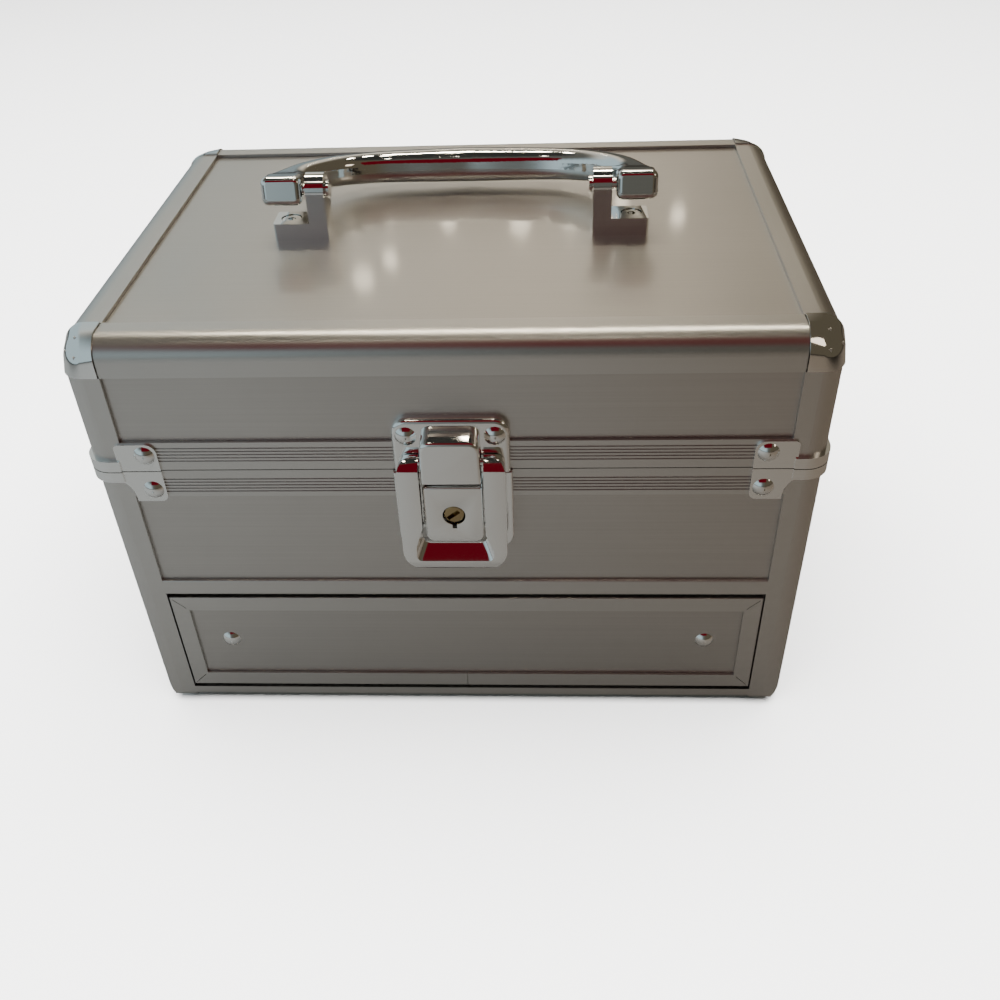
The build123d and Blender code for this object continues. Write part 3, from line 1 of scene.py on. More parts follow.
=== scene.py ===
import math
import bmesh
import bpy
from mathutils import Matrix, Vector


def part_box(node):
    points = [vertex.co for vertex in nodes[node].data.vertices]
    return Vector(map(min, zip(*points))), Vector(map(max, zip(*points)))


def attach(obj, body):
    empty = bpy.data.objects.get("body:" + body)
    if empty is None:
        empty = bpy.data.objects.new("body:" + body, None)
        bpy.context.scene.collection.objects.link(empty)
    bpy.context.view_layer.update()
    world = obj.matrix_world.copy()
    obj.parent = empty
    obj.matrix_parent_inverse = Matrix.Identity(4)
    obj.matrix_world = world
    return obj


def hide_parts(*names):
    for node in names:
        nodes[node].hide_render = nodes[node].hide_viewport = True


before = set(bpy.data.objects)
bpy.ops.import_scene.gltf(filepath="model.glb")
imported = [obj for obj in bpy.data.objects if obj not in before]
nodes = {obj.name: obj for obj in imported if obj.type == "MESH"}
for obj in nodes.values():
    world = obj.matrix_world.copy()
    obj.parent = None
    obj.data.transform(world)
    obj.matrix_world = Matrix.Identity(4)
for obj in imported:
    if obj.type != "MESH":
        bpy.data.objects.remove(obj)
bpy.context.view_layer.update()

# ---- room: floor, camera and lights ----
# A plain white table top, seen from a little to the right of the case, well above it and close. Polished
# metal sees a greyer sheet in its place instead, with painted light on it: cool and paler on the left,
# dark and warm on the right.
bpy.ops.object.select_all(action="DESELECT")


def table(name, height, cool, warm):
    """A large level sheet whose colour runs from its left to its right."""
    bpy.ops.mesh.primitive_plane_add(size=12.0, location=(0, 0, 0))
    sheet = bpy.context.active_object
    sheet.name = name
    for corner in sheet.data.vertices:
        corner.co.z = height
    paint = bpy.data.materials.new(name + "_paint")
    paint.use_nodes = True
    tree = paint.node_tree
    shader = tree.nodes["Principled BSDF"]
    place = tree.nodes.new("ShaderNodeTexCoord")
    apart = tree.nodes.new("ShaderNodeSeparateXYZ")
    across = tree.nodes.new("ShaderNodeMapRange")
    across.interpolation_type = "SMOOTHSTEP"
    across.inputs["From Min"].default_value = -0.35
    across.inputs["From Max"].default_value = 0.35
    tone = tree.nodes.new("ShaderNodeMix")
    tone.data_type = "RGBA"
    tone.inputs["A"].default_value = (*cool, 1)
    tone.inputs["B"].default_value = (*warm, 1)
    tree.links.new(place.outputs["Object"], apart.inputs["Vector"])
    tree.links.new(apart.outputs["X"], across.inputs["Value"])
    tree.links.new(across.outputs["Result"], tone.inputs["Factor"])
    tree.links.new(tone.outputs["Result"], shader.inputs["Base Color"])
    shader.inputs["Roughness"].default_value = 0.8
    shader.inputs["Specular IOR Level"].default_value = 0.1
    sheet.data.materials.append(paint)
    return sheet


table_top = table("table_top", 0.0, (0.90, 0.90, 0.90), (0.90, 0.90, 0.895))
table_top.visible_glossy = False
# Painted light: this sheet, which only polished metal mirrors, runs from cool and paler on the left to
# dark and warm on the right, as daylight from the left and a dim warm room on the right would light it.
mirrored_table_painted_light = table("mirrored_table_painted_light", 0.0002, (0.073, 0.076, 0.075), (0.036, 0.029, 0.022))
mirrored_table_painted_light.visible_camera = False
mirrored_table_painted_light.visible_diffuse = False
mirrored_table_painted_light.visible_shadow = False

camera_data = bpy.data.cameras.new("photo_camera")
camera_data.sensor_width = 36.0
camera_data.lens = 37.678
camera_data.shift_x = 0.00664
camera_data.shift_y = 0.04979
camera_data.clip_start = 0.02
camera = bpy.data.objects.new("photo_camera", camera_data)
camera.location = (0.0310, -0.36902, 0.31415)
camera.rotation_euler = (math.radians(50.375), math.radians(1.9066), math.radians(2.2133))
bpy.context.collection.objects.link(camera)
bpy.context.scene.camera = camera

# ---- room: what stands round it ----
# A dim hall with a paler far wall, daylight on the left and brown furniture on the right. The
# overhead light and the left window shine on the case without being mirrored in it.
room_light = bpy.data.worlds.new("room_light")
room_light.use_nodes = True
hall = room_light.node_tree
hall_shade = hall.nodes["Background"]
hall_way = hall.nodes.new("ShaderNodeTexCoord")
hall_apart = hall.nodes.new("ShaderNodeSeparateXYZ")
hall.links.new(hall_way.outputs["Generated"], hall_apart.inputs["Vector"])


def ramp(axis, low, high, rising=True):
    """A smooth step between two values of one axis of the view direction."""
    step = hall.nodes.new("ShaderNodeMapRange")
    step.interpolation_type = "SMOOTHSTEP"
    step.inputs["From Min"].default_value = low
    step.inputs["From Max"].default_value = high
    step.inputs["To Min"].default_value = 0.0 if rising else 1.0
    step.inputs["To Max"].default_value = 1.0 if rising else 0.0
    hall.links.new(hall_apart.outputs[axis], step.inputs["Value"])
    return step.outputs["Result"]


def tint_where(under, colour, *masks):
    """Lays a colour over another where all the masks meet."""
    mask = masks[0]
    for other in masks[1:]:
        both = hall.nodes.new("ShaderNodeMath")
        both.operation = "MULTIPLY"
        hall.links.new(mask, both.inputs[0])
        hall.links.new(other, both.inputs[1])
        mask = both.outputs[0]
    over = hall.nodes.new("ShaderNodeMix")
    over.data_type = "RGBA"
    if isinstance(under, tuple):
        over.inputs["A"].default_value = (*under, 1)
    else:
        hall.links.new(under, over.inputs["A"])
    over.inputs["B"].default_value = (*colour, 1)
    hall.links.new(mask, over.inputs["Factor"])
    return over.outputs["Result"]


hall_tone = tint_where((0.10, 0.10, 0.088), (0.74, 0.66, 0.53),
                       ramp("Y", 0.05, 0.6), ramp("Z", 0.02, 0.22), ramp("Z", 0.50, 0.80, False))
hall_tone = tint_where(hall_tone, (0.46, 0.58, 0.62),
                       ramp("X", -0.48, 0.0, False), ramp("Z", 0.35, 0.75, False))
hall_tone = tint_where(hall_tone, (0.09, 0.075, 0.05), ramp("X", 0.0, 0.40))
hall_tone = tint_where(hall_tone, (0.03, 0.03, 0.027), ramp("Z", 0.82, 0.94))
hall.links.new(hall_tone, hall_shade.inputs["Color"])
bpy.context.scene.world = room_light


def soft_box(name, place, aim, wide, high, watts, tint, shape="RECTANGLE"):
    """A soft light at a place, turned to face a point."""
    data = bpy.data.lights.new(name, "AREA")
    data.shape = shape
    data.size = wide
    data.size_y = high
    data.energy = watts
    data.color = tint
    lamp = bpy.data.objects.new(name, data)
    lamp.location = place
    away = [p - a for p, a in zip(place, aim)]
    flat = math.hypot(away[0], away[1])
    lamp.rotation_euler = (math.atan2(flat, away[2]), 0, math.atan2(away[0], -away[1]))
    bpy.context.collection.objects.link(lamp)
    return lamp


overhead = soft_box("overhead", (0.0, -0.10, 1.70), (0, -0.10, 0), 2.4, 2.4, 260.0, (1.0, 0.99, 0.98))
overhead.visible_glossy = False
left_window = soft_box("left_window", (-1.30, -0.10, 0.62), (0, 0, 0.08), 0.9, 0.7, 5.0,
                       (0.84, 0.95, 1.0))
left_window.visible_glossy = False
soft_box("right_lamp", (1.10, -0.50, 0.80), (0, 0, 0.08), 0.3, 0.3, 0.6, (1.0, 0.84, 0.66))

# Ceiling lamps of the hall, all warm: (degrees to the right of straight behind the case,
# degrees up, radius in metres, watts). Only shiny surfaces show them.
hall_lamps = [(-11.5, 25.0, 0.03, 0.10), (-9.6, 24.0, 0.02, 0.06), (-5.6, 22.0, 0.02, 0.06),
              (-1.0, 22.3, 0.03, 0.10), (2.2, 21.8, 0.03, 0.10), (3.8, 21.6, 0.02, 0.06),
              (5.4, 21.2, 0.02, 0.06), (9.0, 21.8, 0.02, 0.06), (-30.0, 60.0, 0.13, 9.0),
              (-10.0, 64.0, 0.13, 9.0), (10.0, 64.0, 0.13, 9.0), (30.0, 60.0, 0.13, 7.0),
              (0.0, 78.0, 0.10, 2.0), (170.0, 72.0, 0.08, 1.4), (-150.0, 66.0, 0.08, 1.0)]
for number, (turn, rise, radius, watts) in enumerate(hall_lamps):
    reach = 2.8 * math.cos(math.radians(rise))
    place = (reach * math.sin(math.radians(turn)), reach * math.cos(math.radians(turn)),
             0.16 + 2.8 * math.sin(math.radians(rise)))
    lamp = soft_box("hall_lamp_%02d" % number, place, (0, 0, 0.16), 2 * radius, 2 * radius, watts,
                    (1.0, 0.88, 0.68), "DISK")
    lamp.visible_diffuse = False


def card(name, place, aim, wide, high, colour):
    """A coloured card outside the picture that only polished metal mirrors."""
    bpy.ops.mesh.primitive_plane_add(size=1.0, location=(0, 0, 0))
    sheet = bpy.context.active_object
    sheet.name = name
    away = [p - a for p, a in zip(place, aim)]
    flat = math.hypot(away[0], away[1])
    sheet.scale = (wide, high, 1)
    sheet.rotation_euler = (math.atan2(flat, away[2]), 0, math.atan2(away[0], -away[1]))
    sheet.location = place
    paint = bpy.data.materials.new(name + "_paint")
    paint.use_nodes = True
    shader = paint.node_tree.nodes["Principled BSDF"]
    shader.inputs["Base Color"].default_value = (0, 0, 0, 1)
    shader.inputs["Roughness"].default_value = 1.0
    shader.inputs["Specular IOR Level"].default_value = 0.0
    shader.inputs["Emission Color"].default_value = (*colour, 1)
    shader.inputs["Emission Strength"].default_value = 1.0
    sheet.data.materials.append(paint)
    sheet.visible_camera = False
    sheet.visible_diffuse = False
    sheet.visible_shadow = False


card("red_card", (0.03, -0.49, 0.59), (0, -0.09, 0.11), 0.80, 0.36, (0.11, 0.003, 0.008))


def dress(names, material):
    """Gives CAD nodes their finish."""
    for name in names:
        for place in nodes[name].material_slots:
            place.material = material


# ---- shared effect: brushed lines ----
# Fine parallel scratches as a rolling mill or abrasive belt leaves them, long one way and
# hair-thin the other two. Used by the faced boards and, faintly, by the anodised profiles.
brushing = bpy.data.node_groups.new("brushed_lines", "ShaderNodeTree")
brushing.interface.new_socket(name="Along", in_out="INPUT", socket_type="NodeSocketVector")
brushing.interface.new_socket(name="Contrast", in_out="INPUT", socket_type="NodeSocketFloat")
brushing.interface.new_socket(name="Lines", in_out="OUTPUT", socket_type="NodeSocketFloat")
b_in = brushing.nodes.new("NodeGroupInput")
b_out = brushing.nodes.new("NodeGroupOutput")
b_place = brushing.nodes.new("ShaderNodeTexCoord")
b_scale = brushing.nodes.new("ShaderNodeVectorMath")
b_scale.operation = "MULTIPLY"
b_fine = brushing.nodes.new("ShaderNodeTexNoise")
b_fine.inputs["Scale"].default_value = 1.0
b_fine.inputs["Detail"].default_value = 3.0
b_fine.inputs["Roughness"].default_value = 0.65
b_span = brushing.nodes.new("ShaderNodeMapRange")
b_span.inputs["From Min"].default_value = 0.25
b_span.inputs["From Max"].default_value = 0.75
b_low = brushing.nodes.new("ShaderNodeMath")
b_low.operation = "SUBTRACT"
b_low.inputs[0].default_value = 0.5
b_high = brushing.nodes.new("ShaderNodeMath")
b_high.operation = "ADD"
b_high.inputs[0].default_value = 0.5
brushing.links.new(b_place.outputs["Object"], b_scale.inputs[0])
brushing.links.new(b_in.outputs["Along"], b_scale.inputs[1])
brushing.links.new(b_scale.outputs["Vector"], b_fine.inputs["Vector"])
brushing.links.new(b_fine.outputs["Fac"], b_span.inputs["Value"])
brushing.links.new(b_in.outputs["Contrast"], b_low.inputs[1])
brushing.links.new(b_in.outputs["Contrast"], b_high.inputs[1])
brushing.links.new(b_low.outputs[0], b_span.inputs["To Min"])
brushing.links.new(b_high.outputs[0], b_span.inputs["To Max"])
brushing.links.new(b_span.outputs["Result"], b_out.inputs["Lines"])

# ---- shared effect: handling marks ----
# Soft cloudy smears and a few short scratches from use, as a mask from 0 to 1.
handling = bpy.data.node_groups.new("handling_marks", "ShaderNodeTree")
handling.interface.new_socket(name="Cloud Size", in_out="INPUT", socket_type="NodeSocketFloat")
handling.interface.new_socket(name="Smears", in_out="OUTPUT", socket_type="NodeSocketFloat")
handling.interface.new_socket(name="Scratches", in_out="OUTPUT", socket_type="NodeSocketFloat")
h_in = handling.nodes.new("NodeGroupInput")
h_out = handling.nodes.new("NodeGroupOutput")
h_place = handling.nodes.new("ShaderNodeTexCoord")
h_cloud = handling.nodes.new("ShaderNodeTexNoise")
h_cloud.inputs["Detail"].default_value = 5.0
h_cloud.inputs["Distortion"].default_value = 0.6
h_cloud_span = handling.nodes.new("ShaderNodeMapRange")
h_cloud_span.inputs["From Min"].default_value = 0.40
h_cloud_span.inputs["From Max"].default_value = 0.68
h_warp = handling.nodes.new("ShaderNodeTexNoise")
h_warp.inputs["Scale"].default_value = 9.0
h_mix = handling.nodes.new("ShaderNodeVectorMath")
h_mix.operation = "MULTIPLY_ADD"
h_mix.inputs[1].default_value = (0.06, 0.06, 0.06)
h_cells = handling.nodes.new("ShaderNodeTexVoronoi")
h_cells.feature = "DISTANCE_TO_EDGE"
h_cells.inputs["Scale"].default_value = 16.0
h_thin = handling.nodes.new("ShaderNodeMapRange")
h_thin.inputs["From Min"].default_value = 0.0
h_thin.inputs["From Max"].default_value = 0.006
h_thin.inputs["To Min"].default_value = 1.0
h_thin.inputs["To Max"].default_value = 0.0
h_gate = handling.nodes.new("ShaderNodeTexNoise")
h_gate.inputs["Scale"].default_value = 26.0
h_gate_span = handling.nodes.new("ShaderNodeMapRange")
h_gate_span.inputs["From Min"].default_value = 0.62
h_gate_span.inputs["From Max"].default_value = 0.70
h_both = handling.nodes.new("ShaderNodeMath")
h_both.operation = "MULTIPLY"
handling.links.new(h_place.outputs["Object"], h_cloud.inputs["Vector"])
handling.links.new(h_in.outputs["Cloud Size"], h_cloud.inputs["Scale"])
handling.links.new(h_cloud.outputs["Fac"], h_cloud_span.inputs["Value"])
handling.links.new(h_cloud_span.outputs["Result"], h_out.inputs["Smears"])
handling.links.new(h_place.outputs["Object"], h_warp.inputs["Vector"])
handling.links.new(h_warp.outputs["Color"], h_mix.inputs[0])
handling.links.new(h_place.outputs["Object"], h_mix.inputs[2])
handling.links.new(h_mix.outputs["Vector"], h_cells.inputs["Vector"])
handling.links.new(h_cells.outputs["Distance"], h_thin.inputs["Value"])
handling.links.new(h_place.outputs["Object"], h_gate.inputs["Vector"])
handling.links.new(h_gate.outputs["Fac"], h_gate_span.inputs["Value"])
handling.links.new(h_thin.outputs["Result"], h_both.inputs[0])
handling.links.new(h_gate_span.outputs["Result"], h_both.inputs[1])
handling.links.new(h_both.outputs[0], h_out.inputs["Scratches"])


def brushed_metal(name, dark, light, along, rough, bump, cloud, contrast=0.14, lacquer=0.0):
    """Brushed or satin metal: lines tint it and stand in its surface, and smears roughen it."""
    made = bpy.data.materials.new(name)
    made.use_nodes = True
    tree = made.node_tree
    shader = tree.nodes["Principled BSDF"]
    lines = tree.nodes.new("ShaderNodeGroup")
    lines.node_tree = brushing
    lines.inputs["Along"].default_value = along
    lines.inputs["Contrast"].default_value = contrast
    marks = tree.nodes.new("ShaderNodeGroup")
    marks.node_tree = handling
    marks.inputs["Cloud Size"].default_value = cloud
    tone = tree.nodes.new("ShaderNodeMix")
    tone.data_type = "RGBA"
    tone.inputs["A"].default_value = (*dark, 1)
    tone.inputs["B"].default_value = (*light, 1)
    gloss = tree.nodes.new("ShaderNodeMapRange")
    gloss.inputs["To Min"].default_value = rough - 0.03
    gloss.inputs["To Max"].default_value = rough + 0.04
    relief = tree.nodes.new("ShaderNodeBump")
    relief.inputs["Strength"].default_value = bump
    relief.inputs["Distance"].default_value = 0.0001
    tree.links.new(lines.outputs["Lines"], tone.inputs["Factor"])
    tree.links.new(tone.outputs["Result"], shader.inputs["Base Color"])
    tree.links.new(marks.outputs["Smears"], gloss.inputs["Value"])
    tree.links.new(gloss.outputs["Result"], shader.inputs["Roughness"])
    tree.links.new(lines.outputs["Lines"], relief.inputs["Height"])
    tree.links.new(relief.outputs["Normal"], shader.inputs["Normal"])
    shader.inputs["Metallic"].default_value = 1.0
    shader.inputs["Coat Weight"].default_value = lacquer
    shader.inputs["Coat Roughness"].default_value = 0.07
    return made


# ---- faced boards ----
# The walls, lid and drawer front are thin boards faced with silver laminate, brushed level
# along each wall. They sit in the slots of the profiles, so nothing holds them but their edges.
board_level_x = brushed_metal("silver_board", (0.50, 0.485, 0.47), (0.64, 0.62, 0.60),
                              (9.0, 1500.0, 1500.0), 0.38, 0.06, 14.0, lacquer=0.7)
board_level_y = brushed_metal("silver_board_sides", (0.50, 0.485, 0.47), (0.64, 0.62, 0.60),
                              (1500.0, 9.0, 1500.0), 0.38, 0.06, 14.0, lacquer=0.7)
dress(["front_panel", "back_panel", "lid_front_panel", "lid_back_panel", "lid_top_panel",
       "drawer_front_panel"], board_level_x)
dress(["side_panels", "lid_side_panels"], board_level_y)

# ---- edge profiles ----
# Extruded aluminium, satin anodised: bent side frames, straight rails, corner posts and the
# two ribbed rims. Drawing lines run along each bar and hardly show.
profile_x = brushed_metal("anodised_bars", (0.60, 0.59, 0.575), (0.68, 0.67, 0.655),
                          (3.0, 500.0, 500.0), 0.36, 0.04, 9.0)
profile_y = brushed_metal("anodised_side_bars", (0.60, 0.59, 0.575), (0.68, 0.67, 0.655),
                          (300.0, 3.0, 300.0), 0.36, 0.04, 9.0)
profile_z = brushed_metal("anodised_posts", (0.60, 0.59, 0.575), (0.68, 0.67, 0.655),
                          (300.0, 300.0, 3.0), 0.36, 0.04, 9.0)
dress(["bottom_front_rail", "bottom_back_rail", "shelf_front_rail", "lid_long_profiles",
       "lower_rim", "upper_rim", "drawer_front_trim"], profile_x)
dress(["lid_side_profiles", "side_frame_left", "side_frame_right"], profile_y)
dress(["lid_corner_posts"], profile_z)


def plated(name, tint, rough, cloud):
    """Plated or turned metal, dulled here and there by fingers and polish."""
    made = bpy.data.materials.new(name)
    made.use_nodes = True
    tree = made.node_tree
    shader = tree.nodes["Principled BSDF"]
    marks = tree.nodes.new("ShaderNodeGroup")
    marks.node_tree = handling
    marks.inputs["Cloud Size"].default_value = cloud
    tone = tree.nodes.new("ShaderNodeMix")
    tone.data_type = "RGBA"
    tone.inputs["A"].default_value = (*tint, 1)
    tone.inputs["B"].default_value = (*[0.86 * c for c in tint], 1)
    gloss = tree.nodes.new("ShaderNodeMapRange")
    gloss.inputs["To Min"].default_value = rough
    gloss.inputs["To Max"].default_value = rough + 0.05
    tree.links.new(marks.outputs["Scratches"], tone.inputs["Factor"])
    tree.links.new(tone.outputs["Result"], shader.inputs["Base Color"])
    tree.links.new(marks.outputs["Smears"], gloss.inputs["Value"])
    tree.links.new(gloss.outputs["Result"], shader.inputs["Roughness"])
    shader.inputs["Metallic"].default_value = 1.0
    return made


# ---- chromed hardware ----
# Die-cast and pressed fittings, chrome plated: clasps, base plate of the lock, rivets, hinges,
# brackets and the handle. The modelled latch and caps further down share it.
chrome = plated("chrome_plate", (0.93, 0.94, 0.935), 0.045, 40.0)
dress(["lower_clasps", "upper_clasps", "latch_base_plate", "latch_pin", "case_rivets",
       "lid_rivets", "drawer_rivets", "hinge_lower_leaves", "hinge_upper_leaves",
       "handle_brackets", "bracket_bolts", "handle", "handle_pins"], chrome)

# ---- latch ring ----
# A die-cast, chromed frame that hangs from the nose over the lock, round at the shoulders, with
# a wide scooped bar below that a finger pulls. Its arms have no bore for the pin.
mm = 0.001
case_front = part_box("lower_rim")[0][1]
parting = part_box("upper_rim")[0][2] - 0.15 * mm


def start_box(name, half_width, out, rise):
    """A box of this half width, span out from the case's front and span over the parting line."""
    if bpy.context.mode != "OBJECT":
        bpy.ops.object.mode_set(mode="OBJECT")
    bpy.ops.object.select_all(action="DESELECT")
    bpy.ops.mesh.primitive_cube_add(size=1.0, location=(0, 0, 0))
    piece = bpy.context.active_object
    piece.name = name
    bpy.ops.object.mode_set(mode="EDIT")
    bpy.ops.mesh.select_all(action="SELECT")
    size = (2 * half_width * mm, (out[1] - out[0]) * mm, (rise[1] - rise[0]) * mm)
    bpy.ops.transform.resize(value=size, center_override=(0, 0, 0))
    bpy.ops.transform.translate(value=(0, case_front - sum(out) / 2 * mm,
                                       parting + sum(rise) / 2 * mm))
    return piece


def pick(kind, test):
    """Selects the corners, edges or faces of the open piece that pass a test, and no others."""
    bpy.ops.mesh.select_mode(type=kind)
    bpy.ops.mesh.select_all(action="DESELECT")
    shape = bmesh.from_edit_mesh(bpy.context.active_object.data)
    for part in {"VERT": shape.verts, "EDGE": shape.edges, "FACE": shape.faces}[kind]:
        part.select_set(bool(test(part)))
    shape.select_flush_mode()
    bmesh.update_edit_mesh(bpy.context.active_object.data)


def halfway(edge):
    """The middle of an edge."""
    return (edge.verts[0].co + edge.verts[1].co) / 2


def runs(edge, axis):
    """Says whether an edge runs along an axis, or nearly so."""
    way = edge.verts[1].co - edge.verts[0].co
    return abs(way[axis]) > 0.75 * way.length


def round_edges(test, radius, steps):
    """Rounds the edges of the open piece that pass a test."""
    pick("EDGE", test)
    bpy.ops.mesh.bevel(offset=radius * mm, segments=steps, profile=0.5, affect="EDGES",
                       clamp_overlap=False)


def out_of(point):
    """How far a point stands out of the case's front, in millimetres."""
    return (case_front - point.y) / mm


def over(point):
    """How far a point is over the parting line, in millimetres."""
    return (point.z - parting) / mm


def cut(piece, tool):
    """Takes one closed shape out of another and throws the cutter away."""
    bpy.ops.object.mode_set(mode="OBJECT")
    bpy.ops.object.select_all(action="DESELECT")
    bpy.context.view_layer.objects.active = piece
    piece.select_set(True)
    taken = piece.modifiers.new("cut", "BOOLEAN")
    taken.object = tool
    taken.operation = "DIFFERENCE"
    taken.solver = "EXACT"
    bpy.ops.object.modifier_apply(modifier=taken.name)
    bpy.data.objects.remove(tool)


def finish_piece(piece, body, material, soften, steps=3):
    """Rounds the sharp edges of a piece, smooths it, paints it and lets it ride on its body."""
    if bpy.context.mode != "OBJECT":
        bpy.ops.object.mode_set(mode="OBJECT")
    bpy.ops.object.select_all(action="DESELECT")
    bpy.context.view_layer.objects.active = piece
    piece.select_set(True)
    if soften:
        edges = piece.modifiers.new("soften", "BEVEL")
        edges.width = soften * mm
        edges.segments = steps
        edges.limit_method = "ANGLE"
        edges.angle_limit = math.radians(32.0)
        bpy.ops.object.modifier_apply(modifier=edges.name)
    bpy.ops.object.mode_set(mode="EDIT")
    bpy.ops.mesh.select_all(action="SELECT")
    bpy.ops.mesh.remove_doubles(threshold=0.000004)
    bpy.ops.mesh.normals_make_consistent(inside=False)
    bpy.ops.object.mode_set(mode="OBJECT")
    bpy.ops.object.shade_smooth_by_angle(angle=math.radians(40.0))
    piece.data.materials.clear()
    piece.data.materials.append(material)
    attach(piece, body)


ring_half_width = 17.7
slab_back, slab_front = 5.0, 8.0
# Heights over the parting line with the ring's front and back there, out from the case.
ring_rows = [(8.0, 4.6, 3.2), (7.3, 5.8, 2.5), (4.6, 8.5, 2.2), (-12.0, 8.9, 2.6),
             (-22.5, 10.6, 6.9), (-31.0, 11.25, 6.9), (-33.4, 11.0, 7.1), (-34.7, 9.9, 7.6)]
ring_top, ring_bottom = ring_rows[0][0], ring_rows[-1][0]
ring = start_box("ring_casting", ring_half_width, (slab_back, slab_front), (ring_bottom, ring_top))
round_edges(lambda e: runs(e, 1) and over(halfway(e)) < -30, 8.2, 9)
round_edges(lambda e: runs(e, 1) and over(halfway(e)) > 5, 4.4, 6)
for height, _, _ in ring_rows[1:-1]:
    bpy.ops.mesh.select_all(action="SELECT")
    bpy.ops.mesh.bisect(plane_co=(0, 0, parting + height * mm), plane_no=(0, 0, 1))
levels = sorted({round(over(v.co), 2) for v in bmesh.from_edit_mesh(ring.data).verts})
for level in levels:
    above = next((r for r in reversed(ring_rows) if r[0] >= level - 0.01), ring_rows[0])
    below = next((r for r in ring_rows if r[0] <= level + 0.01), ring_rows[-1])
    share = 0.0 if above[0] == below[0] else (level - below[0]) / (above[0] - below[0])
    for column, side_now in ((1, slab_front), (2, slab_back)):
        wanted = below[column] + share * (above[column] - below[column])
        pick("VERT", lambda v: abs(over(v.co) - level) < 0.02
             and abs(out_of(v.co) - side_now) < 0.1)
        bpy.ops.transform.translate(value=(0, (side_now - wanted) * mm, 0))

window_half_width = 10.6
window = start_box("window_cutter", window_half_width, (-2.0, 15.0), (-25.9, 14.0))
round_edges(lambda e: runs(e, 1) and over(halfway(e)) < -20, 2.6, 6)
cut(ring, window)
scoop_half_width = window_half_width + 0.1
scoop_depth, scoop_reach = 6.3, 14.3
scoop = start_box("scoop_cutter", scoop_half_width, (scoop_depth, scoop_reach), (-25.3, -18.0))
pick("VERT", lambda v: out_of(v.co) > 10 and over(v.co) < -22)
bpy.ops.transform.translate(value=(0, 0, -8.6 * mm))
bpy.ops.transform.resize(value=(1.50, 1, 1), center_override=(0, case_front, parting))
round_edges(lambda e: abs(halfway(e).x) > 9 * mm and over(halfway(e)) < -26
            and abs(e.verts[0].co.y - e.verts[1].co.y) > 5 * mm, 2.4, 6)
cut(ring, scoop)
finish_piece(ring, "ring", chrome, 0.9, 4)
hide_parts("latch_ring")

# ---- latch keeper and its nose ----
# One casting: a plate riveted to the lid over the rim, and a thick nose that leans back to the
# plate under a rounded hood. The nose is solid, so the ring's pin overlaps it.
keeper_half_width, keeper_height = 19.3, 20.1
keeper_back, keeper_front = 0.02, 1.9
rim_top, step_back = 11.0, 1.25
rim_clearance = 0.15
keeper = start_box("keeper_casting", keeper_half_width, (keeper_back, keeper_front),
                   (rim_clearance, keeper_height))
round_edges(lambda e: runs(e, 1) and over(halfway(e)) > 15, 5.2, 8)
bpy.ops.mesh.select_all(action="SELECT")
bpy.ops.mesh.bisect(plane_co=(0, 0, parting + rim_top * mm), plane_no=(0, 0, 1))
pick("FACE", lambda f: f.normal.y > 0.9 and over(f.calc_center_median()) > rim_top)
bpy.ops.mesh.extrude_region_move(TRANSFORM_OT_translate={"value": (0, step_back * mm, 0)})
round_edges(lambda e: all(abs(out_of(v.co) - keeper_front) < 0.01 for v in e.verts)
            and over(halfway(e)) > 0.3 and len(e.link_faces) == 2
            and min(abs(f.normal.y) for f in e.link_faces) < 0.5, 1.7, 5)
bpy.ops.object.mode_set(mode="OBJECT")
nose_half_width, nose_front, nose_height = 9.9, 9.0, 15.7
nose_lean = 2.8
nose = start_box("nose_casting", nose_half_width, (0.6, nose_front), (rim_clearance, nose_height))
round_edges(lambda e: over(halfway(e)) > 14 and abs(halfway(e).x) > 9 * mm and runs(e, 1), 3.4, 8)
pick("VERT", lambda v: out_of(v.co) < 2 and over(v.co) > 8)
bpy.ops.transform.translate(value=(0, 0, nose_lean * mm))
pick("VERT", lambda v: over(v.co) > 8)
bpy.ops.transform.resize(value=(0.975, 1, 1), center_override=(0, 0, 0))
round_edges(lambda e: all(out_of(v.co) > 8.8 for v in e.verts) and over(halfway(e)) > 0.5, 1.2, 5)
finish_piece(keeper, "lid", chrome, 0)
finish_piece(nose, "lid", chrome, 0)
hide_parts("latch_keeper")
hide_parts("latch_keeper")

# ---- lock case ----
# A pressed cup on the base plate, its corners rounded below, with a round hole for the barrel
# and a small notch under it that guides the key.
lock_half_width, lock_wall = nose_half_width, 1.0
lock_back, lock_front = 1.6, 6.5
lock_bottom, lock_top = -26.2, -3.1
barrel_drop, barrel_radius, barrel_play = 14.6, 3.45, 0.4
lock = start_box("lock_case", lock_half_width, (lock_back, lock_front), (lock_bottom, lock_top))
round_edges(lambda e: runs(e, 1) and over(halfway(e)) < -20, 3.4, 7)
round_edges(lambda e: runs(e, 1) and over(halfway(e)) > -10, 0.8, 3)
round_edges(lambda e: all(out_of(v.co) > 6.4 for v in e.verts), 0.7, 4)
hollow = start_box("hollow_cutter", lock_half_width - lock_wall, (1.0, lock_front - lock_wall),
                   (lock_bottom + lock_wall, lock_top - lock_wall))
cut(lock, hollow)
bpy.ops.mesh.primitive_cylinder_add(vertices=48, radius=(barrel_radius + barrel_play) * mm,
                                    depth=6 * mm, rotation=(math.radians(90), 0, 0),
                                    location=(0, case_front - 6 * mm,
                                              parting - barrel_drop * mm))
cut(lock, bpy.context.active_object)
notch = start_box("notch_cutter", 0.75, (5.0, 8.0), (-20.0, -17.6))
cut(lock, notch)
finish_piece(lock, "case", chrome, 0.18, 2)
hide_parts("lock_body")

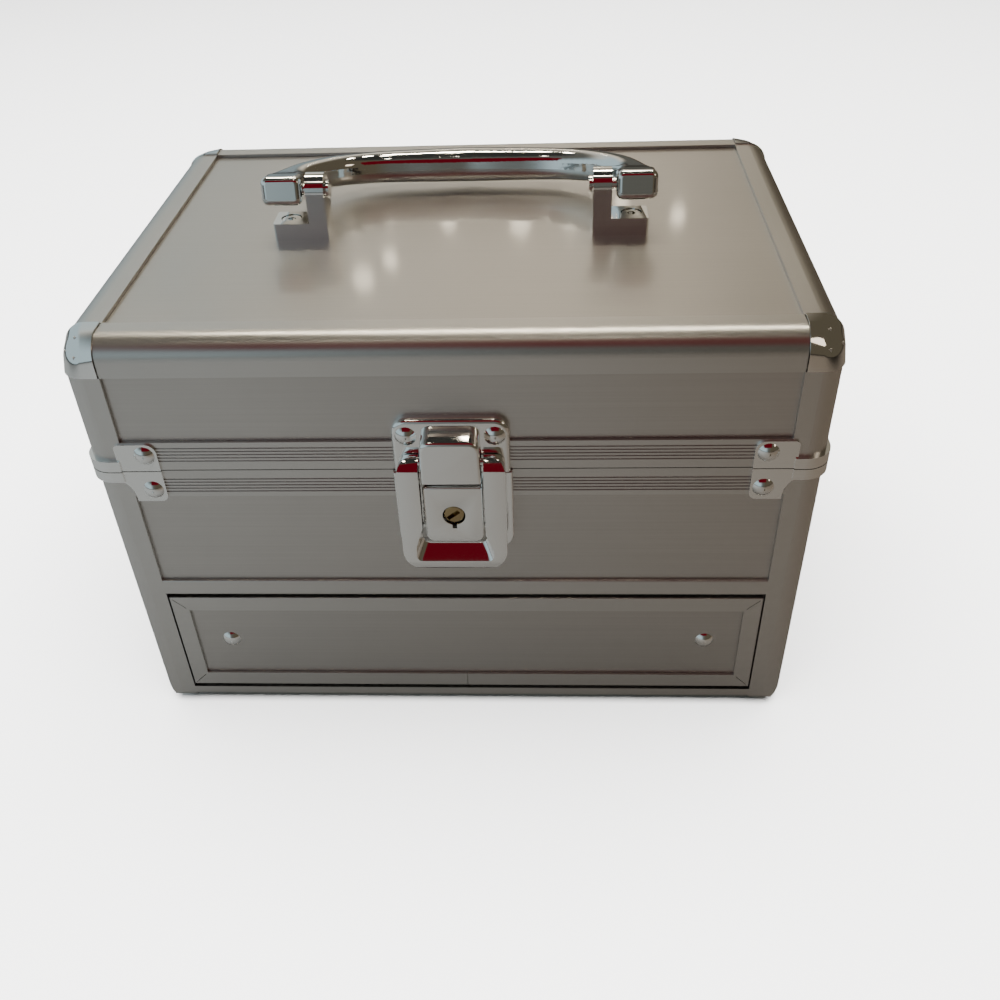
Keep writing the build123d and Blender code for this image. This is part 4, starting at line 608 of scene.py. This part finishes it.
# ---- lock barrel ----
# Turned brass, a little below the face of the lock, with a deep keyway across it. Only the
# barrel is made: the collar and cam of the CAD node that it replaces are missing here.
brass = plated("turned_brass", (0.40, 0.31, 0.17), 0.16, 90.0)
bpy.ops.object.select_all(action="DESELECT")
bpy.ops.mesh.primitive_cylinder_add(vertices=48, radius=barrel_radius * mm, depth=4.2 * mm,
                                    rotation=(math.radians(90), 0, 0), location=(0, 0, 0))
barrel = bpy.context.active_object
barrel.name = "lock_barrel"
bpy.ops.object.transform_apply(location=True, rotation=True, scale=True)
bpy.ops.object.mode_set(mode="EDIT")
pick("EDGE", lambda e: all(v.co.y < -2 * mm for v in e.verts))
bpy.ops.mesh.bevel(offset=0.5 * mm, segments=3, affect="EDGES")
bpy.ops.mesh.select_all(action="SELECT")
bpy.ops.transform.translate(value=(0, case_front - 3.8 * mm, parting - barrel_drop * mm))
bpy.ops.object.mode_set(mode="OBJECT")
bpy.ops.object.select_all(action="DESELECT")
bpy.ops.mesh.primitive_cube_add(size=1.0, location=(0, 0, 0))
keyway = bpy.context.active_object
bpy.ops.object.mode_set(mode="EDIT")
bpy.ops.mesh.select_all(action="SELECT")
bpy.ops.transform.resize(value=(4.9 * mm, 5.0 * mm, 1.5 * mm), center_override=(0, 0, 0))
bpy.ops.transform.rotate(value=math.radians(38), orient_axis="Y", center_override=(0, 0, 0))
bpy.ops.transform.translate(value=(-0.3 * mm, case_front - 5.9 * mm, parting - (barrel_drop + 0.2) * mm))
cut(barrel, keyway)
finish_piece(barrel, "lock", brass, 0)
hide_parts("lock_cylinder")

# ---- corner caps ----
# Pressed steel caps, chromed, that close the three bar ends at each corner of the lid. The real
# ones are round like a quarter of a ball. Here the tip is pushed in, which leaves it flatter.
# The other three are made like the first and mirrored.
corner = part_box("lid_corner_caps")
cap_reach, cap_round, cap_push, cap_wall = 13.1, 8.1, 1.7, 0.55


def shape_cap():
    """The cap at the front left corner, as an open shell."""
    bpy.ops.object.select_all(action="DESELECT")
    bpy.ops.mesh.primitive_cube_add(size=1.0, location=(0, 0, 0))
    made = bpy.context.active_object
    bpy.ops.object.mode_set(mode="EDIT")
    bpy.ops.mesh.select_all(action="SELECT")
    bpy.ops.transform.resize(value=(cap_reach * mm,) * 3, center_override=(0, 0, 0))
    tip = (corner[0][0], corner[0][1], corner[1][2])
    bpy.ops.transform.translate(value=(tip[0] + cap_reach / 2 * mm, tip[1] + cap_reach / 2 * mm,
                                       tip[2] - cap_reach / 2 * mm))
    pick("FACE", lambda f: f.normal.x > 0.9 or f.normal.y > 0.9 or f.normal.z < -0.9)
    bpy.ops.mesh.delete(type="FACE")
    round_edges(lambda e: len(e.link_faces) == 2, cap_round, 12)
    near = min(bmesh.from_edit_mesh(made.data).verts,
               key=lambda v: (v.co.x - tip[0]) + (v.co.y - tip[1]) - (v.co.z - tip[2]))
    place = near.co.copy()
    pick("VERT", lambda v: (v.co - place).length < 0.4 * mm)
    bpy.ops.transform.translate(value=(cap_push * mm, cap_push * mm, -cap_push * mm),
                                use_proportional_edit=True,
                                proportional_edit_falloff="SMOOTH", proportional_size=11.5 * mm)
    bpy.ops.object.mode_set(mode="OBJECT")
    wall = made.modifiers.new("wall", "SOLIDIFY")
    wall.thickness = cap_wall * mm
    wall.offset = -1.0
    bpy.ops.object.modifier_apply(modifier=wall.name)
    return made


mid_y = (corner[0][1] + corner[1][1]) / 2
for name, turn_x, turn_y in (("cap_front_left", 1, 1), ("cap_front_right", -1, 1),
                             ("cap_back_left", 1, -1), ("cap_back_right", -1, -1)):
    cap = shape_cap()
    cap.name = name
    bpy.ops.object.mode_set(mode="EDIT")
    bpy.ops.mesh.select_all(action="SELECT")
    bpy.ops.transform.resize(value=(turn_x, turn_y, 1), center_override=(0, mid_y, 0))
    finish_piece(cap, "lid", chrome, 0)
    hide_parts("lid_corner_caps")

zinc = plated("zinc_plate", (0.62, 0.62, 0.61), 0.22, 60.0)
dress(["hinge_pins", "foot_screws", "bracket_nuts", "stay_lower_posts", "stay_upper_posts",
       "stay_lower_link_left", "stay_lower_link_right", "stay_upper_link_left",
       "stay_upper_link_right"], zinc)


def dull(name, dark, light, grain, rough, bump):
    """A plain dull surface with a fine grain: plastic, rubber, board or pile."""
    made = bpy.data.materials.new(name)
    made.use_nodes = True
    tree = made.node_tree
    shader = tree.nodes["Principled BSDF"]
    place = tree.nodes.new("ShaderNodeTexCoord")
    speckle = tree.nodes.new("ShaderNodeTexNoise")
    speckle.inputs["Scale"].default_value = grain
    speckle.inputs["Detail"].default_value = 4.0
    tone = tree.nodes.new("ShaderNodeMix")
    tone.data_type = "RGBA"
    tone.inputs["A"].default_value = (*dark, 1)
    tone.inputs["B"].default_value = (*light, 1)
    relief = tree.nodes.new("ShaderNodeBump")
    relief.inputs["Strength"].default_value = bump
    relief.inputs["Distance"].default_value = 0.0003
    tree.links.new(place.outputs["Object"], speckle.inputs["Vector"])
    tree.links.new(speckle.outputs["Fac"], tone.inputs["Factor"])
    tree.links.new(tone.outputs["Result"], shader.inputs["Base Color"])
    tree.links.new(speckle.outputs["Fac"], relief.inputs["Height"])
    tree.links.new(relief.outputs["Normal"], shader.inputs["Normal"])
    shader.inputs["Roughness"].default_value = rough
    return made


# ---- inside and underneath ----
# Black faced board for floor, shelf and drawer tray, black pile linings, black moulded
# runners and rubber feet.
black_board = dull("black_board", (0.006, 0.006, 0.0065), (0.015, 0.015, 0.016), 900.0, 0.45, 0.15)
dress(["base_panel", "divider_shelf", "drawer_floor", "drawer_front_wall", "drawer_back_wall",
       "drawer_sides", "drawer_stop"], black_board)
pile = dull("lining_pile", (0.003, 0.003, 0.0035), (0.016, 0.016, 0.018), 2600.0, 0.95, 0.8)
dress(["compartment_lining", "drawer_lining", "lid_lining"], pile)
moulded = dull("moulded_black", (0.015, 0.015, 0.016), (0.03, 0.03, 0.03), 1400.0, 0.38, 0.1)
dress(["drawer_guides", "drawer_runners"], moulded)
rubber = dull("foot_rubber", (0.012, 0.012, 0.012), (0.03, 0.03, 0.03), 700.0, 0.75, 0.3)
dress(["feet"], rubber)
